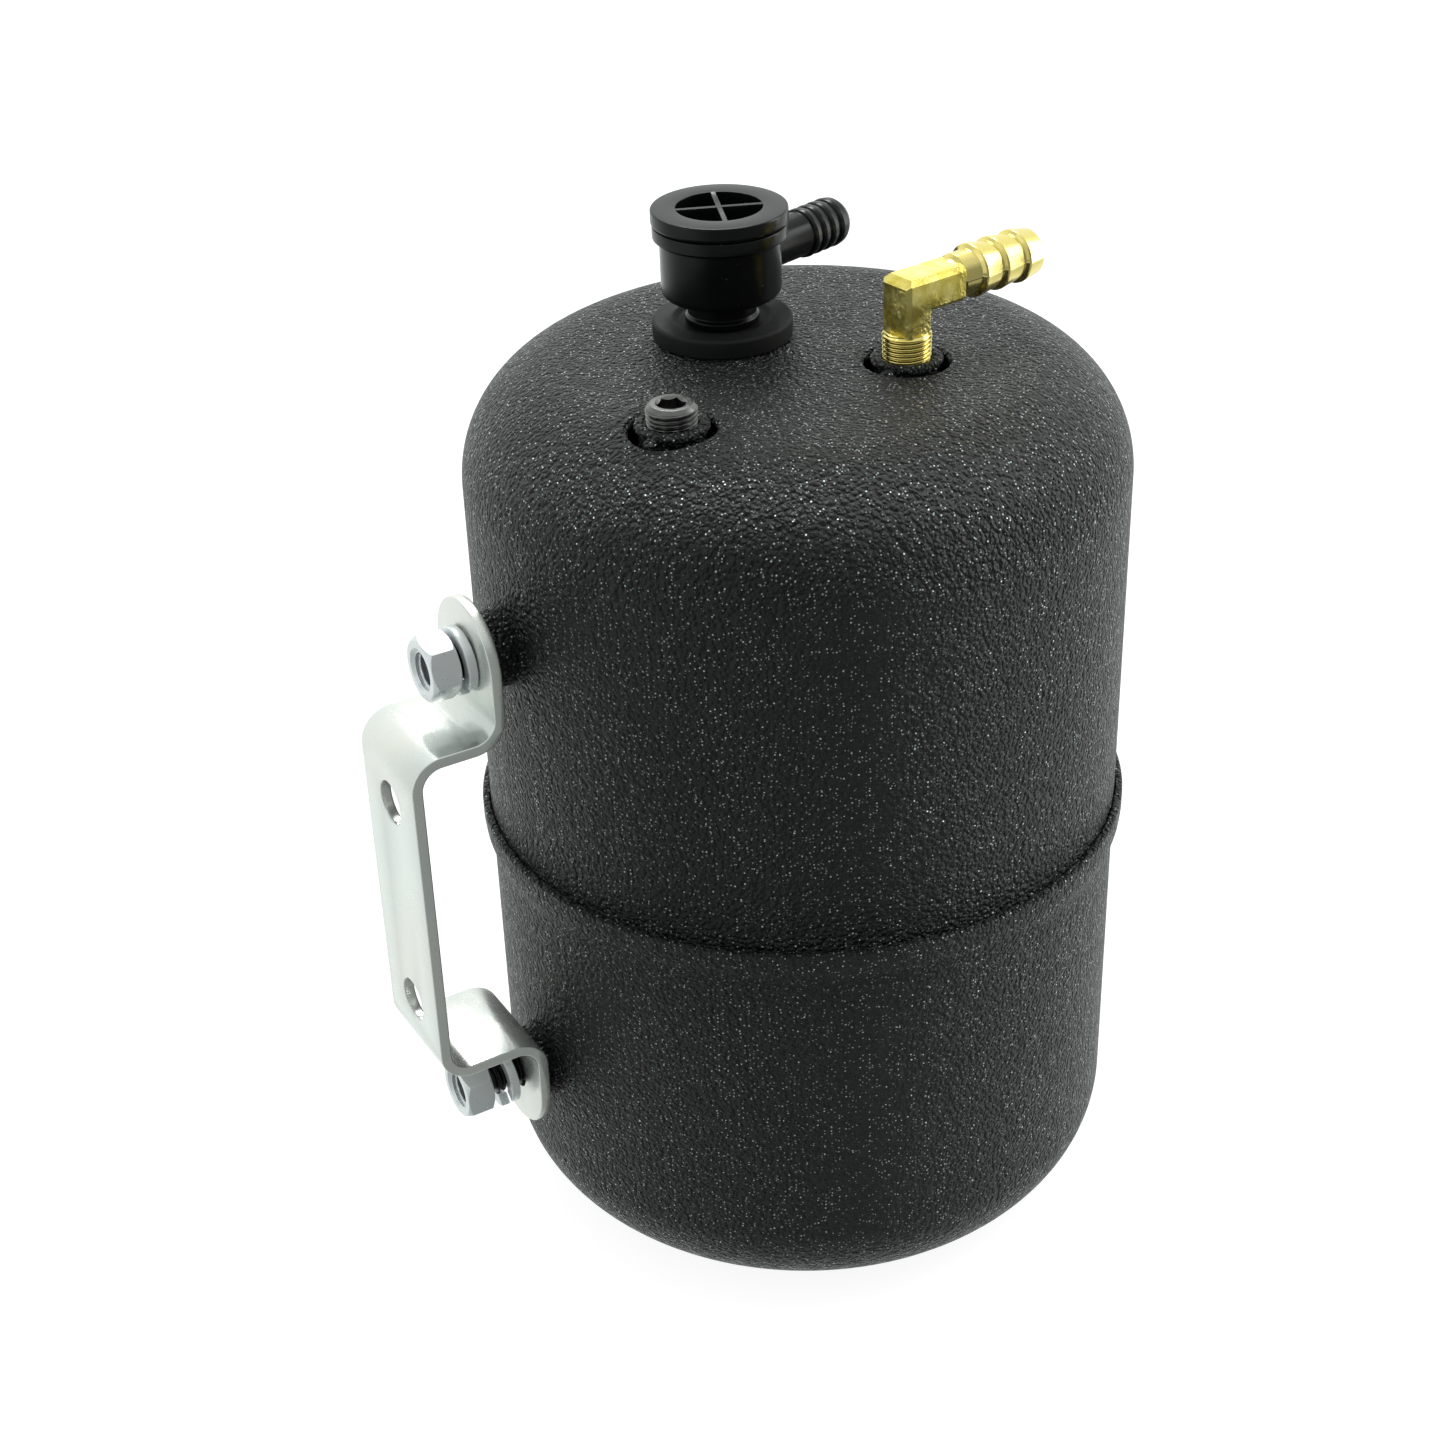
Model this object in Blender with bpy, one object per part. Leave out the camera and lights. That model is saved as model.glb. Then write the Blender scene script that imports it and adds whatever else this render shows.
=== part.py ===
"""Reservoir canister with a check valve, a hose-barb elbow, a plugged port and a strap bracket.

Metres, +Z up. The origin is the centre of the flat base, and +Z is the canister's axis.
The strap bracket faces -X, so its plate is the face that goes against a panel.
"""

import math

import bmesh
import bpy
from mathutils import Matrix, Vector

MM = 0.001
GAP = 0.3 * MM  # between pieces that touch on the real object

# Canister: two deep-drawn cups, the upper one slid into the lower one's belled lip
TANK_R = 70.0 * MM
TANK_H = 200.5 * MM
SHEET = 1.5 * MM
TOP_CORNER_R = 24.3 * MM
BASE_CORNER_R = 23.5 * MM
SEAM_Z = TANK_H / 2
LIP_R = TANK_R + 1.8 * MM
LIP_DEPTH = 7.0 * MM  # how far the upper cup reaches down inside the lip
SHELL_SEGMENTS = 60

# Weld bungs with a 1/8 in pipe thread
BUNG_R = 7.4 * MM
BUNG_BORE_R = 5.45 * MM
BUNG_PROUD = 1.2 * MM
BUNG_DEPTH = 10.0 * MM
WELD_GROOVE_R = 8.9 * MM
WELD_GROOVE_DEPTH = 0.6 * MM
THREAD_R = 5.15 * MM

ELBOW_X, ELBOW_Y = 16.4 * MM, -16.6 * MM
PLUG_X, PLUG_Y = -39.4 * MM, -18.5 * MM
VALVE_X, VALVE_Y = -7.4 * MM, 16.3 * MM

# Brass elbow, heights above the canister's top
ELBOW_AZIMUTH = math.radians(7.5)
ELBOW_AXIS_Z = 14.7 * MM
ELBOW_FLATS = 8.0 * MM
ELBOW_CHAMFER = 1.3 * MM
ELBOW_CORNER_BEVEL = 1.8 * MM
ELBOW_THREAD_TOP = 6.3 * MM
ELBOW_SHOULDER = 12.0 * MM
ELBOW_TIP = 34.1 * MM
ELBOW_RIDGES = (16.6 * MM, 22.5 * MM, 28.5 * MM)
ELBOW_RIDGE_R = 5.6 * MM
ELBOW_ROOT_R = 4.8 * MM
ELBOW_BORE_R = 3.0 * MM

# Pipe plug
PLUG_TOP = 5.0 * MM
PLUG_LENGTH = 9.0 * MM
PLUG_FLATS = 5.2 * MM
PLUG_SOCKET_DEPTH = 5.0 * MM

# Check valve, heights above the canister's top
GROMMET_R = 14.7 * MM
GROMMET_TOP = 4.4 * MM
GROMMET_HOLE_R = 10.3 * MM
GROMMET_LOWER_R = 12.5 * MM
GROMMET_LOWER_Z = -4.8 * MM
GROMMET_BORE_R = 6.9 * MM
STEM_R = 6.5 * MM
STEM_END = -10.0 * MM
STEM_PORT_R = 3.5 * MM
NECK_R = 7.75 * MM
NECK_FOOT = 3.7 * MM
BODY_R = 12.5 * MM
BODY_FOOT = 9.2 * MM
FLANGE_R = 13.9 * MM
FLANGE_FOOT = 21.4 * MM
FLANGE_TOP = 24.4 * MM
CAVITY_R = 10.3 * MM
CAVITY_FLOOR = 11.4 * MM
SEAT_TOP = 12.2 * MM
CAP_R = 14.15 * MM
CAP_TOP = 27.7 * MM
WINDOW_R = 8.95 * MM
WINDOW_FLOOR = 23.4 * MM
CAP_SPIGOT_R = 9.9 * MM
CAP_SPIGOT_FOOT = 22.0 * MM
RIB_WIDTH = 1.1 * MM
RIB_AZIMUTH = math.radians(-22.5)

BARB_AZIMUTH = math.radians(16.0)
BARB_Z = 15.2 * MM
BARB_TIP = 36.0 * MM
BARB_SHANK_R = 4.8 * MM
BARB_RIDGE_R = 5.3 * MM
BARB_RIDGES = (23.8 * MM, 26.5 * MM, 29.2 * MM, 32.0 * MM)
BARB_BORE_R = 2.8 * MM

POPPET_R = 6.4 * MM
SEAL_R = 6.0 * MM
SEAL_THICKNESS = 1.6 * MM
SPRING_R = 3.4 * MM
SPRING_WIRE_R = 0.3 * MM
SPRING_TURNS = 4.0

# Strap bracket, u is the distance from the canister's axis towards -X
STRAP_WIDTH = 25.4 * MM
STRAP_T = 2.4 * MM
UPPER_TAB_U = 76.8 * MM  # inner faces of the tabs, which the photo shows at different depths
LOWER_TAB_U = 73.8 * MM
PLATE_OUTER_U = 98.4 * MM
BEND_R = 4.6 * MM  # inside radius of each bend
STEP_HALF_SPAN = 39.9 * MM  # seam to the outer face of each step
STUD_HALF_SPACING = 53.0 * MM
PLATE_HOLE_HALF_SPACING = 25.0 * MM
PLATE_HOLE_R = 4.75 * MM
TAB_HOLE_R = 4.6 * MM

# Stud hardware, 5/16 in
STUD_R = 3.95 * MM
BOSS_R = 8.0 * MM
NUT_FLATS = 12.7 * MM
NUT_THICKNESS = 6.4 * MM
NUT_BORE_R = 4.25 * MM
WASHER_R = 7.1 * MM
WASHER_BORE_R = 4.5 * MM
WASHER_T = 2.0 * MM
WASHER_SPLIT = 1.6 * MM
UPPER_NUT_U, UPPER_NUT_TURN = 82.5 * MM, math.radians(18)
LOWER_NUT_U, LOWER_NUT_TURN = 84.4 * MM, math.radians(3)
UPPER_WASHER_TILT = math.radians(2)
LOWER_WASHER_TILT = math.radians(7)
UPPER_WASHER_U, LOWER_WASHER_U = 79.8 * MM, 79.5 * MM
STUD_RECESS = 1.7 * MM  # how far each stud ends inside its nut


# Scene and materials

def clear_scene():
    for obj in list(bpy.data.objects):
        bpy.data.objects.remove(obj, do_unlink=True)


def material(name, colour, roughness, metallic=0.0):
    made = bpy.data.materials.new(name)
    made.use_nodes = True
    shader = made.node_tree.nodes["Principled BSDF"]
    shader.inputs["Base Color"].default_value = (*colour, 1.0)
    shader.inputs["Roughness"].default_value = roughness
    shader.inputs["Metallic"].default_value = metallic
    return made


def add_object(name, bm, finish=None, smooth=30.0):
    """A new object from a bmesh, its faces turned outwards."""
    bmesh.ops.recalc_face_normals(bm, faces=bm.faces)
    mesh = bpy.data.meshes.new(name)
    bm.to_mesh(mesh)
    bm.free()
    if sum(v.co.cross(w.co).dot(x.co) for v, w, x in triangles(mesh)) < 0:
        mesh.flip_normals()
    mesh.shade_smooth()
    mesh.set_sharp_from_angle(angle=math.radians(smooth))
    if finish:
        mesh.materials.append(finish)
    obj = bpy.data.objects.new(name, mesh)
    bpy.context.scene.collection.objects.link(obj)
    return obj


def triangles(mesh):
    mesh.calc_loop_triangles()
    for face in mesh.loop_triangles:
        yield tuple(mesh.vertices[i] for i in face.vertices)


def place(obj, location, rotation=None):
    obj.matrix_world = Matrix.Translation(location) @ (rotation or Matrix())
    return obj


def combine(obj, other, operation):
    """Adds, cuts or intersects with a hidden helper object."""
    other.hide_render = True
    other.display_type = "WIRE"
    step = obj.modifiers.new(operation.title(), "BOOLEAN")
    step.operation = operation
    step.object = other
    step.solver = "EXACT"


# Shapes

def arc(centre, radius, start, end, steps):
    """Points on an arc, in degrees, from start to end."""
    turn = [math.radians(start + (end - start) * i / steps) for i in range(steps + 1)]
    return [(centre[0] + radius * math.cos(a), centre[1] + radius * math.sin(a)) for a in turn]


def lathe(profile, segments):
    """A closed profile of (radius, height) turned about +Z. Points on the axis become single vertices."""
    bm = bmesh.new()
    rings = []
    for radius, height in profile:
        if radius < 1e-7:
            rings.append([bm.verts.new((0, 0, height))])
            continue
        angles = [math.tau * i / segments for i in range(segments)]
        rings.append([bm.verts.new((radius * math.cos(a), radius * math.sin(a), height)) for a in angles])
    for lower, upper in zip(rings, rings[1:] + rings[:1]):
        if len(lower) == 1 and len(upper) == 1:
            continue
        for i in range(segments):
            j = (i + 1) % segments
            if len(lower) == 1:
                bm.faces.new((lower[0], upper[j], upper[i]))
            elif len(upper) == 1:
                bm.faces.new((lower[i], lower[j], upper[0]))
            else:
                bm.faces.new((lower[i], lower[j], upper[j], upper[i]))
    return bm


def prism(outline, depth):
    """A flat outline of (x, y) points, extruded from z = 0 to depth."""
    bm = bmesh.new()
    face = bm.faces.new([bm.verts.new((x, y, 0)) for x, y in outline])
    pushed = bmesh.ops.extrude_face_region(bm, geom=[face])["geom"]
    moved = [v for v in pushed if isinstance(v, bmesh.types.BMVert)]
    bmesh.ops.translate(bm, verts=moved, vec=(0, 0, depth))
    return bm


def cylinder(radius, low, high, segments=32):
    return lathe([(0, low), (radius, low), (radius, high), (0, high)], segments)


def polygon(across_flats, sides, turn=0.0):
    radius = across_flats / 2 / math.cos(math.pi / sides)
    angles = [turn + math.tau * i / sides for i in range(sides)]
    return [(radius * math.cos(a), radius * math.sin(a)) for a in angles]


def rounded_square(side, chamfer):
    half, inner = side / 2, side / 2 - chamfer
    corners = ((half, -inner), (half, inner), (inner, half), (-inner, half))
    return [*corners, *((-x, -y) for x, y in corners)]


def along(azimuth):
    """Turns +Z to point level, at this azimuth, with the shape's +X pointing up."""
    heading = Vector((math.cos(azimuth), math.sin(azimuth), 0))
    up = Vector((0, 0, 1))
    return Matrix((up, heading.cross(up), heading)).transposed().to_4x4()


OUTWARD = along(math.pi)  # a stud's axis: level, away from the canister towards -X


# Canister

def upper_cup():
    wall, inner = TANK_R, TANK_R - SHEET
    corner = (wall - TOP_CORNER_R, TANK_H - TOP_CORNER_R)
    rim = SEAM_Z - LIP_DEPTH
    outside = [(wall, rim), *arc(corner, TOP_CORNER_R, 0, 90, 8), (0, TANK_H)]
    inside = [(0, TANK_H - SHEET), *arc(corner, TOP_CORNER_R - SHEET, 90, 0, 5), (inner, rim)]
    return lathe(outside + inside, SHELL_SEGMENTS)


def lower_cup():
    wall, inner = TANK_R, TANK_R - SHEET
    corner = (wall - BASE_CORNER_R, BASE_CORNER_R)
    lip_inner = TANK_R + GAP
    step = SEAM_Z - LIP_DEPTH - 0.8 * MM
    outside = [(0, 0), *arc(corner, BASE_CORNER_R, -90, 0, 8), (wall, step - 1.6 * MM)]
    outside += [(wall + 0.5 * MM, step - 0.6 * MM), (LIP_R - 0.3 * MM, step + 1.6 * MM)]
    outside += [(LIP_R, step + 3.2 * MM), (LIP_R, SEAM_Z - 0.9 * MM), (LIP_R - 0.6 * MM, SEAM_Z)]
    inside = [(lip_inner, SEAM_Z), (lip_inner, step), (inner, step - 1.6 * MM)]
    inside += [*arc(corner, BASE_CORNER_R - SHEET, 0, -90, 5), (0, SHEET)]
    return lathe(outside + inside, SHELL_SEGMENTS)


def bung():
    top, foot = BUNG_PROUD, -BUNG_DEPTH
    edge = 0.4 * MM
    profile = [(BUNG_BORE_R, foot), (BUNG_R, foot), (BUNG_R, top - edge), (BUNG_R - edge, top)]
    profile += [(BUNG_BORE_R + edge, top), (BUNG_BORE_R, top - edge)]
    return lathe(profile, 28)


def build_canister(coat):
    upper = add_object("upper_shell", upper_cup(), coat)
    add_object("lower_shell", lower_cup(), coat)
    for name, x, y in (("elbow_port", ELBOW_X, ELBOW_Y), ("plug_port", PLUG_X, PLUG_Y)):
        hole_r, step = BUNG_R + GAP, -WELD_GROOVE_DEPTH
        stepped = [(0, -10 * MM), (hole_r, -10 * MM), (hole_r, step), (WELD_GROOVE_R, step)]
        stepped += [(WELD_GROOVE_R, 10 * MM), (0, 10 * MM)]
        hole = place(add_object(f"{name}_hole", lathe(stepped, 28)), (x, y, TANK_H))
        combine(upper, hole, "DIFFERENCE")
        place(add_object(f"{name}_bung", bung(), coat), (x, y, TANK_H))
    hole = add_object("grommet_hole", cylinder(GROMMET_HOLE_R, -10 * MM, 10 * MM, 36))
    combine(upper, place(hole, (VALVE_X, VALVE_Y, TANK_H)), "DIFFERENCE")


# Brass elbow and pipe plug

def elbow_barb():
    """The hose barb about +Z: saw teeth with their steep sides towards the body."""
    profile = [(0, ELBOW_SHOULDER - 1.0 * MM), (4.7 * MM, ELBOW_SHOULDER - 1.0 * MM)]
    profile += [(5.0 * MM, ELBOW_SHOULDER), (4.6 * MM, ELBOW_RIDGES[0])]
    for ridge, following in zip(ELBOW_RIDGES, (*ELBOW_RIDGES[1:], ELBOW_TIP)):
        profile += [(ELBOW_RIDGE_R, ridge + 0.15 * MM), (ELBOW_ROOT_R, following)]
    profile[-1] = (ELBOW_ROOT_R - 0.1 * MM, ELBOW_TIP - 0.7 * MM)
    profile += [(ELBOW_ROOT_R - 0.9 * MM, ELBOW_TIP), (0, ELBOW_TIP)]
    return lathe(profile, 24)


def build_elbow(brass):
    origin = Vector((ELBOW_X, ELBOW_Y, TANK_H))
    level = origin + Vector((0, 0, ELBOW_AXIS_Z))
    turn = Matrix.Rotation(ELBOW_AZIMUTH, 4, "Z")
    half = ELBOW_FLATS / 2

    stub = [(0, -7 * MM), (THREAD_R - 0.7 * MM, -7 * MM), (THREAD_R - 0.2 * MM, -6.2 * MM)]
    stub += [(THREAD_R, ELBOW_THREAD_TOP - 0.6 * MM), (THREAD_R - 0.6 * MM, ELBOW_THREAD_TOP)]
    elbow = add_object("brass_elbow_fitting", lathe([*stub, (0, ELBOW_THREAD_TOP)], 24), brass)
    place(elbow, origin)

    foot = ELBOW_THREAD_TOP - 0.5 * MM
    post = add_object("elbow_post", prism(rounded_square(ELBOW_FLATS, ELBOW_CHAMFER), ELBOW_AXIS_Z + half - foot))
    place(post, origin + Vector((0, 0, foot)), turn)
    leg = prism(rounded_square(ELBOW_FLATS, ELBOW_CHAMFER), ELBOW_SHOULDER + half)
    leg = add_object("elbow_leg", leg)
    back = turn @ Vector((-half, 0, 0))
    place(leg, level + back, along(ELBOW_AZIMUTH))
    barb = place(add_object("elbow_hose_barb", elbow_barb()), level, along(ELBOW_AZIMUTH))
    for helper in (post, leg, barb):
        combine(elbow, helper, "UNION")

    # The outer corner is bevelled between the end face and the top
    margin, width = 1.0 * MM, 14 * MM
    side = ELBOW_CORNER_BEVEL + 2 * margin
    bevel = add_object("elbow_corner_cut", prism([(0, 0), (side, 0), (0, side)], width))
    upright = Matrix.Rotation(-math.pi / 2, 4, "X") @ Matrix.Translation((0, 0, -width / 2))
    corner = turn @ Vector((-half - margin, 0, half + margin))
    place(bevel, level + corner, turn @ upright)
    combine(elbow, bevel, "DIFFERENCE")

    rise = place(add_object("elbow_rise", cylinder(ELBOW_BORE_R, -9 * MM, ELBOW_AXIS_Z, 16)), origin)
    run = add_object("elbow_run", cylinder(ELBOW_BORE_R, -0.5 * MM, ELBOW_TIP + 3 * MM, 16))
    place(run, level, along(ELBOW_AZIMUTH))
    combine(elbow, rise, "DIFFERENCE")
    combine(elbow, run, "DIFFERENCE")


def build_plug(steel):
    top, foot = PLUG_TOP, PLUG_TOP - PLUG_LENGTH
    profile = [(0, foot), (THREAD_R - 0.9 * MM, foot), (THREAD_R - 0.3 * MM, foot + 0.7 * MM)]
    profile += [(THREAD_R, top - 0.9 * MM), (THREAD_R - 0.8 * MM, top), (0, top)]
    plug = add_object("pipe_plug", lathe(profile, 28), steel)
    place(plug, (PLUG_X, PLUG_Y, TANK_H))
    hexagon = polygon(PLUG_FLATS, 6, math.radians(39))
    socket = add_object("plug_socket", prism(hexagon, PLUG_SOCKET_DEPTH + 5 * MM))
    place(socket, (PLUG_X, PLUG_Y, TANK_H + top - PLUG_SOCKET_DEPTH))
    combine(plug, socket, "DIFFERENCE")


# Check valve

def grommet_section():
    sheet_low, edge = -SHEET, 0.6 * MM
    waist = GROMMET_HOLE_R - GAP
    foot = GROMMET_LOWER_Z
    profile = [(GROMMET_BORE_R, foot), (GROMMET_LOWER_R - edge, foot), (GROMMET_LOWER_R, foot + edge)]
    profile += [(GROMMET_LOWER_R, sheet_low - GAP), (waist, sheet_low - GAP), (waist, GAP)]
    profile += [(GROMMET_R, GAP), (GROMMET_R, GROMMET_TOP - edge), (GROMMET_R - edge, GROMMET_TOP)]
    profile += [(10.3 * MM, GROMMET_TOP - 0.2 * MM), (NECK_R + 0.7 * MM, NECK_FOOT - 0.4 * MM)]
    profile += [(GROMMET_BORE_R, NECK_FOOT - 0.4 * MM)]
    return profile


def valve_body_section():
    """The moulded body without its hose barb: stem, neck, drum and flange, open at the top."""
    bead = STEM_R + 1.1 * MM
    round_r = 1.6 * MM
    profile = [(STEM_PORT_R, STEM_END), (STEM_R - 0.8 * MM, STEM_END), (STEM_R, STEM_END + 1.2 * MM)]
    profile += [(bead, GROMMET_LOWER_Z - 1.4 * MM), (bead, GROMMET_LOWER_Z - 0.5 * MM)]
    profile += [(STEM_R, GROMMET_LOWER_Z - 0.5 * MM), (STEM_R, NECK_FOOT), (NECK_R, NECK_FOOT)]
    profile += [(NECK_R, NECK_FOOT + 1.2 * MM), (NECK_R - 0.6 * MM, NECK_FOOT + 1.7 * MM)]
    profile += [(NECK_R - 0.6 * MM, BODY_FOOT)]
    profile += arc((BODY_R - round_r, BODY_FOOT + round_r), round_r, -90, 0, 3)
    profile += [(BODY_R, FLANGE_FOOT), (FLANGE_R - 0.6 * MM, FLANGE_FOOT)]
    profile += [(FLANGE_R, FLANGE_FOOT + 0.6 * MM), (FLANGE_R, FLANGE_TOP), (11.7 * MM, FLANGE_TOP)]
    profile += [(11.7 * MM, FLANGE_TOP - 1.6 * MM), (CAVITY_R, FLANGE_TOP - 1.6 * MM)]
    profile += [(CAVITY_R, CAVITY_FLOOR), (5.4 * MM, CAVITY_FLOOR), (5.0 * MM, SEAT_TOP)]
    profile += [(4.2 * MM, SEAT_TOP), (STEM_PORT_R, SEAT_TOP - 0.7 * MM)]
    return profile


def valve_barb():
    """The hose barb about +Z, with four rounded teeth near its tip."""
    profile = [(0, BODY_R - 1.4 * MM), (BARB_SHANK_R, BODY_R - 1.4 * MM)]
    for ridge, following in zip(BARB_RIDGES, (*BARB_RIDGES[1:], BARB_TIP)):
        profile += [(BARB_SHANK_R, ridge - 0.1 * MM), (BARB_RIDGE_R, ridge + 0.35 * MM)]
        profile += [(BARB_RIDGE_R, ridge + 1.0 * MM)]
    profile += [(BARB_SHANK_R, BARB_TIP - 1.6 * MM), (BARB_SHANK_R - 0.5 * MM, BARB_TIP - 0.5 * MM)]
    profile += [(BARB_SHANK_R - 1.3 * MM, BARB_TIP), (0, BARB_TIP)]
    return lathe(profile, 22)


def cap_section():
    edge = 0.35 * MM
    foot = FLANGE_TOP + GAP
    profile = [(0, CAP_SPIGOT_FOOT), (CAP_SPIGOT_R, CAP_SPIGOT_FOOT), (CAP_SPIGOT_R, foot)]
    profile += [(CAP_R, foot), (CAP_R, CAP_TOP - edge), (CAP_R - edge, CAP_TOP)]
    profile += [(WINDOW_R, CAP_TOP), (WINDOW_R, WINDOW_FLOOR), (0, WINDOW_FLOOR)]
    return profile


def build_valve(rubber, plastic, seal_rubber, spring_steel):
    base = Vector((VALVE_X, VALVE_Y, TANK_H))
    place(add_object("valve_grommet", lathe(grommet_section(), 36), rubber), base)
    body = place(add_object("check_valve_body", lathe(valve_body_section(), 36), plastic), base)
    barb = add_object("valve_hose_barb", valve_barb())
    passage = add_object("valve_barb_passage", cylinder(BARB_BORE_R, 8 * MM, BARB_TIP + 3 * MM, 24))
    for helper, operation in ((barb, "UNION"), (passage, "DIFFERENCE")):
        place(helper, base + Vector((0, 0, BARB_Z)), along(BARB_AZIMUTH))
        combine(body, helper, operation)

    cap = place(add_object("check_valve_cap", lathe(cap_section(), 40), plastic), base)
    depth = CAP_TOP - WINDOW_FLOOR + 0.4 * MM
    for number in range(2):
        length = 2 * WINDOW_R + 0.8 * MM
        corners = [(x * length / 2, y * RIB_WIDTH / 2) for x, y in ((-1, -1), (1, -1), (1, 1), (-1, 1))]
        rib = add_object(f"cap_rib_{number + 1}", prism(corners, depth - 0.02 * MM))
        heading = Matrix.Rotation(RIB_AZIMUTH + number * math.pi / 2, 4, "Z")
        place(rib, base + Vector((0, 0, WINDOW_FLOOR - 0.4 * MM)), heading)
        combine(cap, rib, "UNION")

    ring = arc((10.8 * MM, FLANGE_TOP - 0.7 * MM), 0.58 * MM, 0, 300, 5)
    place(add_object("cap_seal_ring", lathe(ring, 28), seal_rubber), base)

    seal_low = SEAT_TOP + GAP
    seal = [(1.9 * MM, seal_low), (SEAL_R, seal_low), (SEAL_R, seal_low + SEAL_THICKNESS)]
    seal += [(1.9 * MM, seal_low + SEAL_THICKNESS)]
    place(add_object("poppet_seal", lathe(seal, 24), seal_rubber), base)

    disc = seal_low + SEAL_THICKNESS + GAP
    poppet = [(0, disc - 3.6 * MM), (1.1 * MM, disc - 3.6 * MM), (1.55 * MM, disc - 3.0 * MM)]
    poppet += [(1.55 * MM, disc), (POPPET_R, disc), (POPPET_R, disc + 1.1 * MM)]
    poppet += [(2.6 * MM, disc + 1.4 * MM), (2.2 * MM, disc + 3.6 * MM), (0, disc + 3.6 * MM)]
    place(add_object("valve_poppet", lathe(poppet, 24), plastic), base)

    low = disc + 1.4 * MM + GAP + SPRING_WIRE_R
    high = CAP_SPIGOT_FOOT - GAP - SPRING_WIRE_R
    build_spring(low, high, spring_steel, base)


def build_spring(low, high, finish, base):
    """A coil of round wire as a swept curve with filled ends."""
    curve = bpy.data.curves.new("valve_spring", "CURVE")
    curve.dimensions = "3D"
    curve.bevel_depth = SPRING_WIRE_R
    curve.bevel_resolution = 1
    curve.use_fill_caps = True
    steps = int(12 * SPRING_TURNS)
    spline = curve.splines.new("POLY")
    spline.points.add(steps)
    for i, point in enumerate(spline.points):
        angle = math.tau * SPRING_TURNS * i / steps
        height = low + (high - low) * i / steps
        point.co = (SPRING_R * math.cos(angle), SPRING_R * math.sin(angle), height, 1)
    curve.materials.append(finish)
    spring = bpy.data.objects.new("valve_spring", curve)
    bpy.context.scene.collection.objects.link(spring)
    place(spring, base)


# Strap bracket and its fasteners

def strap_path():
    """The strap's inner and outer faces as (u, z) outlines, from the lower tab's end to the upper one's."""
    plate = PLATE_OUTER_U - STRAP_T / 2
    step = STEP_HALF_SPAN - STRAP_T / 2
    end = STUD_HALF_SPACING + STRAP_WIDTH / 2 + 1 * MM
    mid_r = BEND_R + STRAP_T / 2

    def side(tab_u, offset):
        """One face of one half, offset from the middle line and away from the canister."""
        tab = tab_u + STRAP_T / 2
        outer_r, inner_r = mid_r - offset, mid_r + offset
        top = arc((tab + mid_r, step + mid_r), outer_r, 180, 270, 6)
        bottom = arc((plate - mid_r, step - mid_r), inner_r, 90, 0, 6)
        return [(tab + offset, end), *top, *bottom]

    upper_out, upper_in = side(UPPER_TAB_U, STRAP_T / 2), side(UPPER_TAB_U, -STRAP_T / 2)
    lower_out = [(u, -z) for u, z in reversed(side(LOWER_TAB_U, STRAP_T / 2))]
    lower_in = [(u, -z) for u, z in side(LOWER_TAB_U, -STRAP_T / 2)]
    return upper_out + lower_out + lower_in + list(reversed(upper_in))


def build_bracket(zinc):
    outline = [(-u, SEAM_Z + z) for u, z in strap_path()]
    strap = prism(outline, STRAP_WIDTH)
    bracket = add_object("mounting_bracket", strap, zinc)
    upright = Matrix.Rotation(math.pi / 2, 4, "X")
    place(bracket, (0, STRAP_WIDTH / 2, 0), upright)

    # The tabs' ends are half rounds about the studs
    half = STRAP_WIDTH / 2 + 0.01 * MM
    stadium = arc((STUD_HALF_SPACING, 0), half, 90, -90, 12)
    stadium += arc((-STUD_HALF_SPACING, 0), half, 270, 90, 12)
    ends = add_object("strap_ends", prism(stadium, 40 * MM))
    place(ends, (-LOWER_TAB_U + 5 * MM, 0, SEAM_Z), OUTWARD)
    combine(bracket, ends, "INTERSECT")

    holes = ((PLATE_HOLE_HALF_SPACING, PLATE_HOLE_R), (STUD_HALF_SPACING, TAB_HOLE_R))
    for offset, radius in holes:
        for name, sign in (("upper", 1), ("lower", -1)):
            kind = "plate" if radius == PLATE_HOLE_R else "tab"
            drill = add_object(f"{name}_{kind}_hole", cylinder(radius, 70 * MM, 105 * MM, 24))
            place(drill, (0, 0, SEAM_Z + sign * offset), OUTWARD)
            combine(bracket, drill, "DIFFERENCE")


def nut(turn):
    """A hexagon about +Z with both ends' corners chamfered by an intersecting turned blank."""
    bm = prism(polygon(NUT_FLATS, 6, turn), NUT_THICKNESS)
    blank_r = NUT_FLATS / 2 / math.cos(math.pi / 6) + 0.1 * MM
    flat_r, drop = NUT_FLATS / 2 - 0.1 * MM, 0.75 * MM
    profile = [(NUT_BORE_R + 0.5 * MM, 0), (flat_r, 0), (blank_r, drop), (blank_r, NUT_THICKNESS - drop)]
    profile += [(flat_r, NUT_THICKNESS), (NUT_BORE_R + 0.5 * MM, NUT_THICKNESS)]
    profile += [(NUT_BORE_R, NUT_THICKNESS - 0.5 * MM), (NUT_BORE_R, 0.5 * MM)]
    return bm, lathe(profile, 24)


def lock_washer():
    """A ring about +Z with a narrow slanted split."""
    profile = [(WASHER_BORE_R, 0), (WASHER_R, 0), (WASHER_R, WASHER_T), (WASHER_BORE_R, WASHER_T)]
    return lathe(profile, 28)


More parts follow.
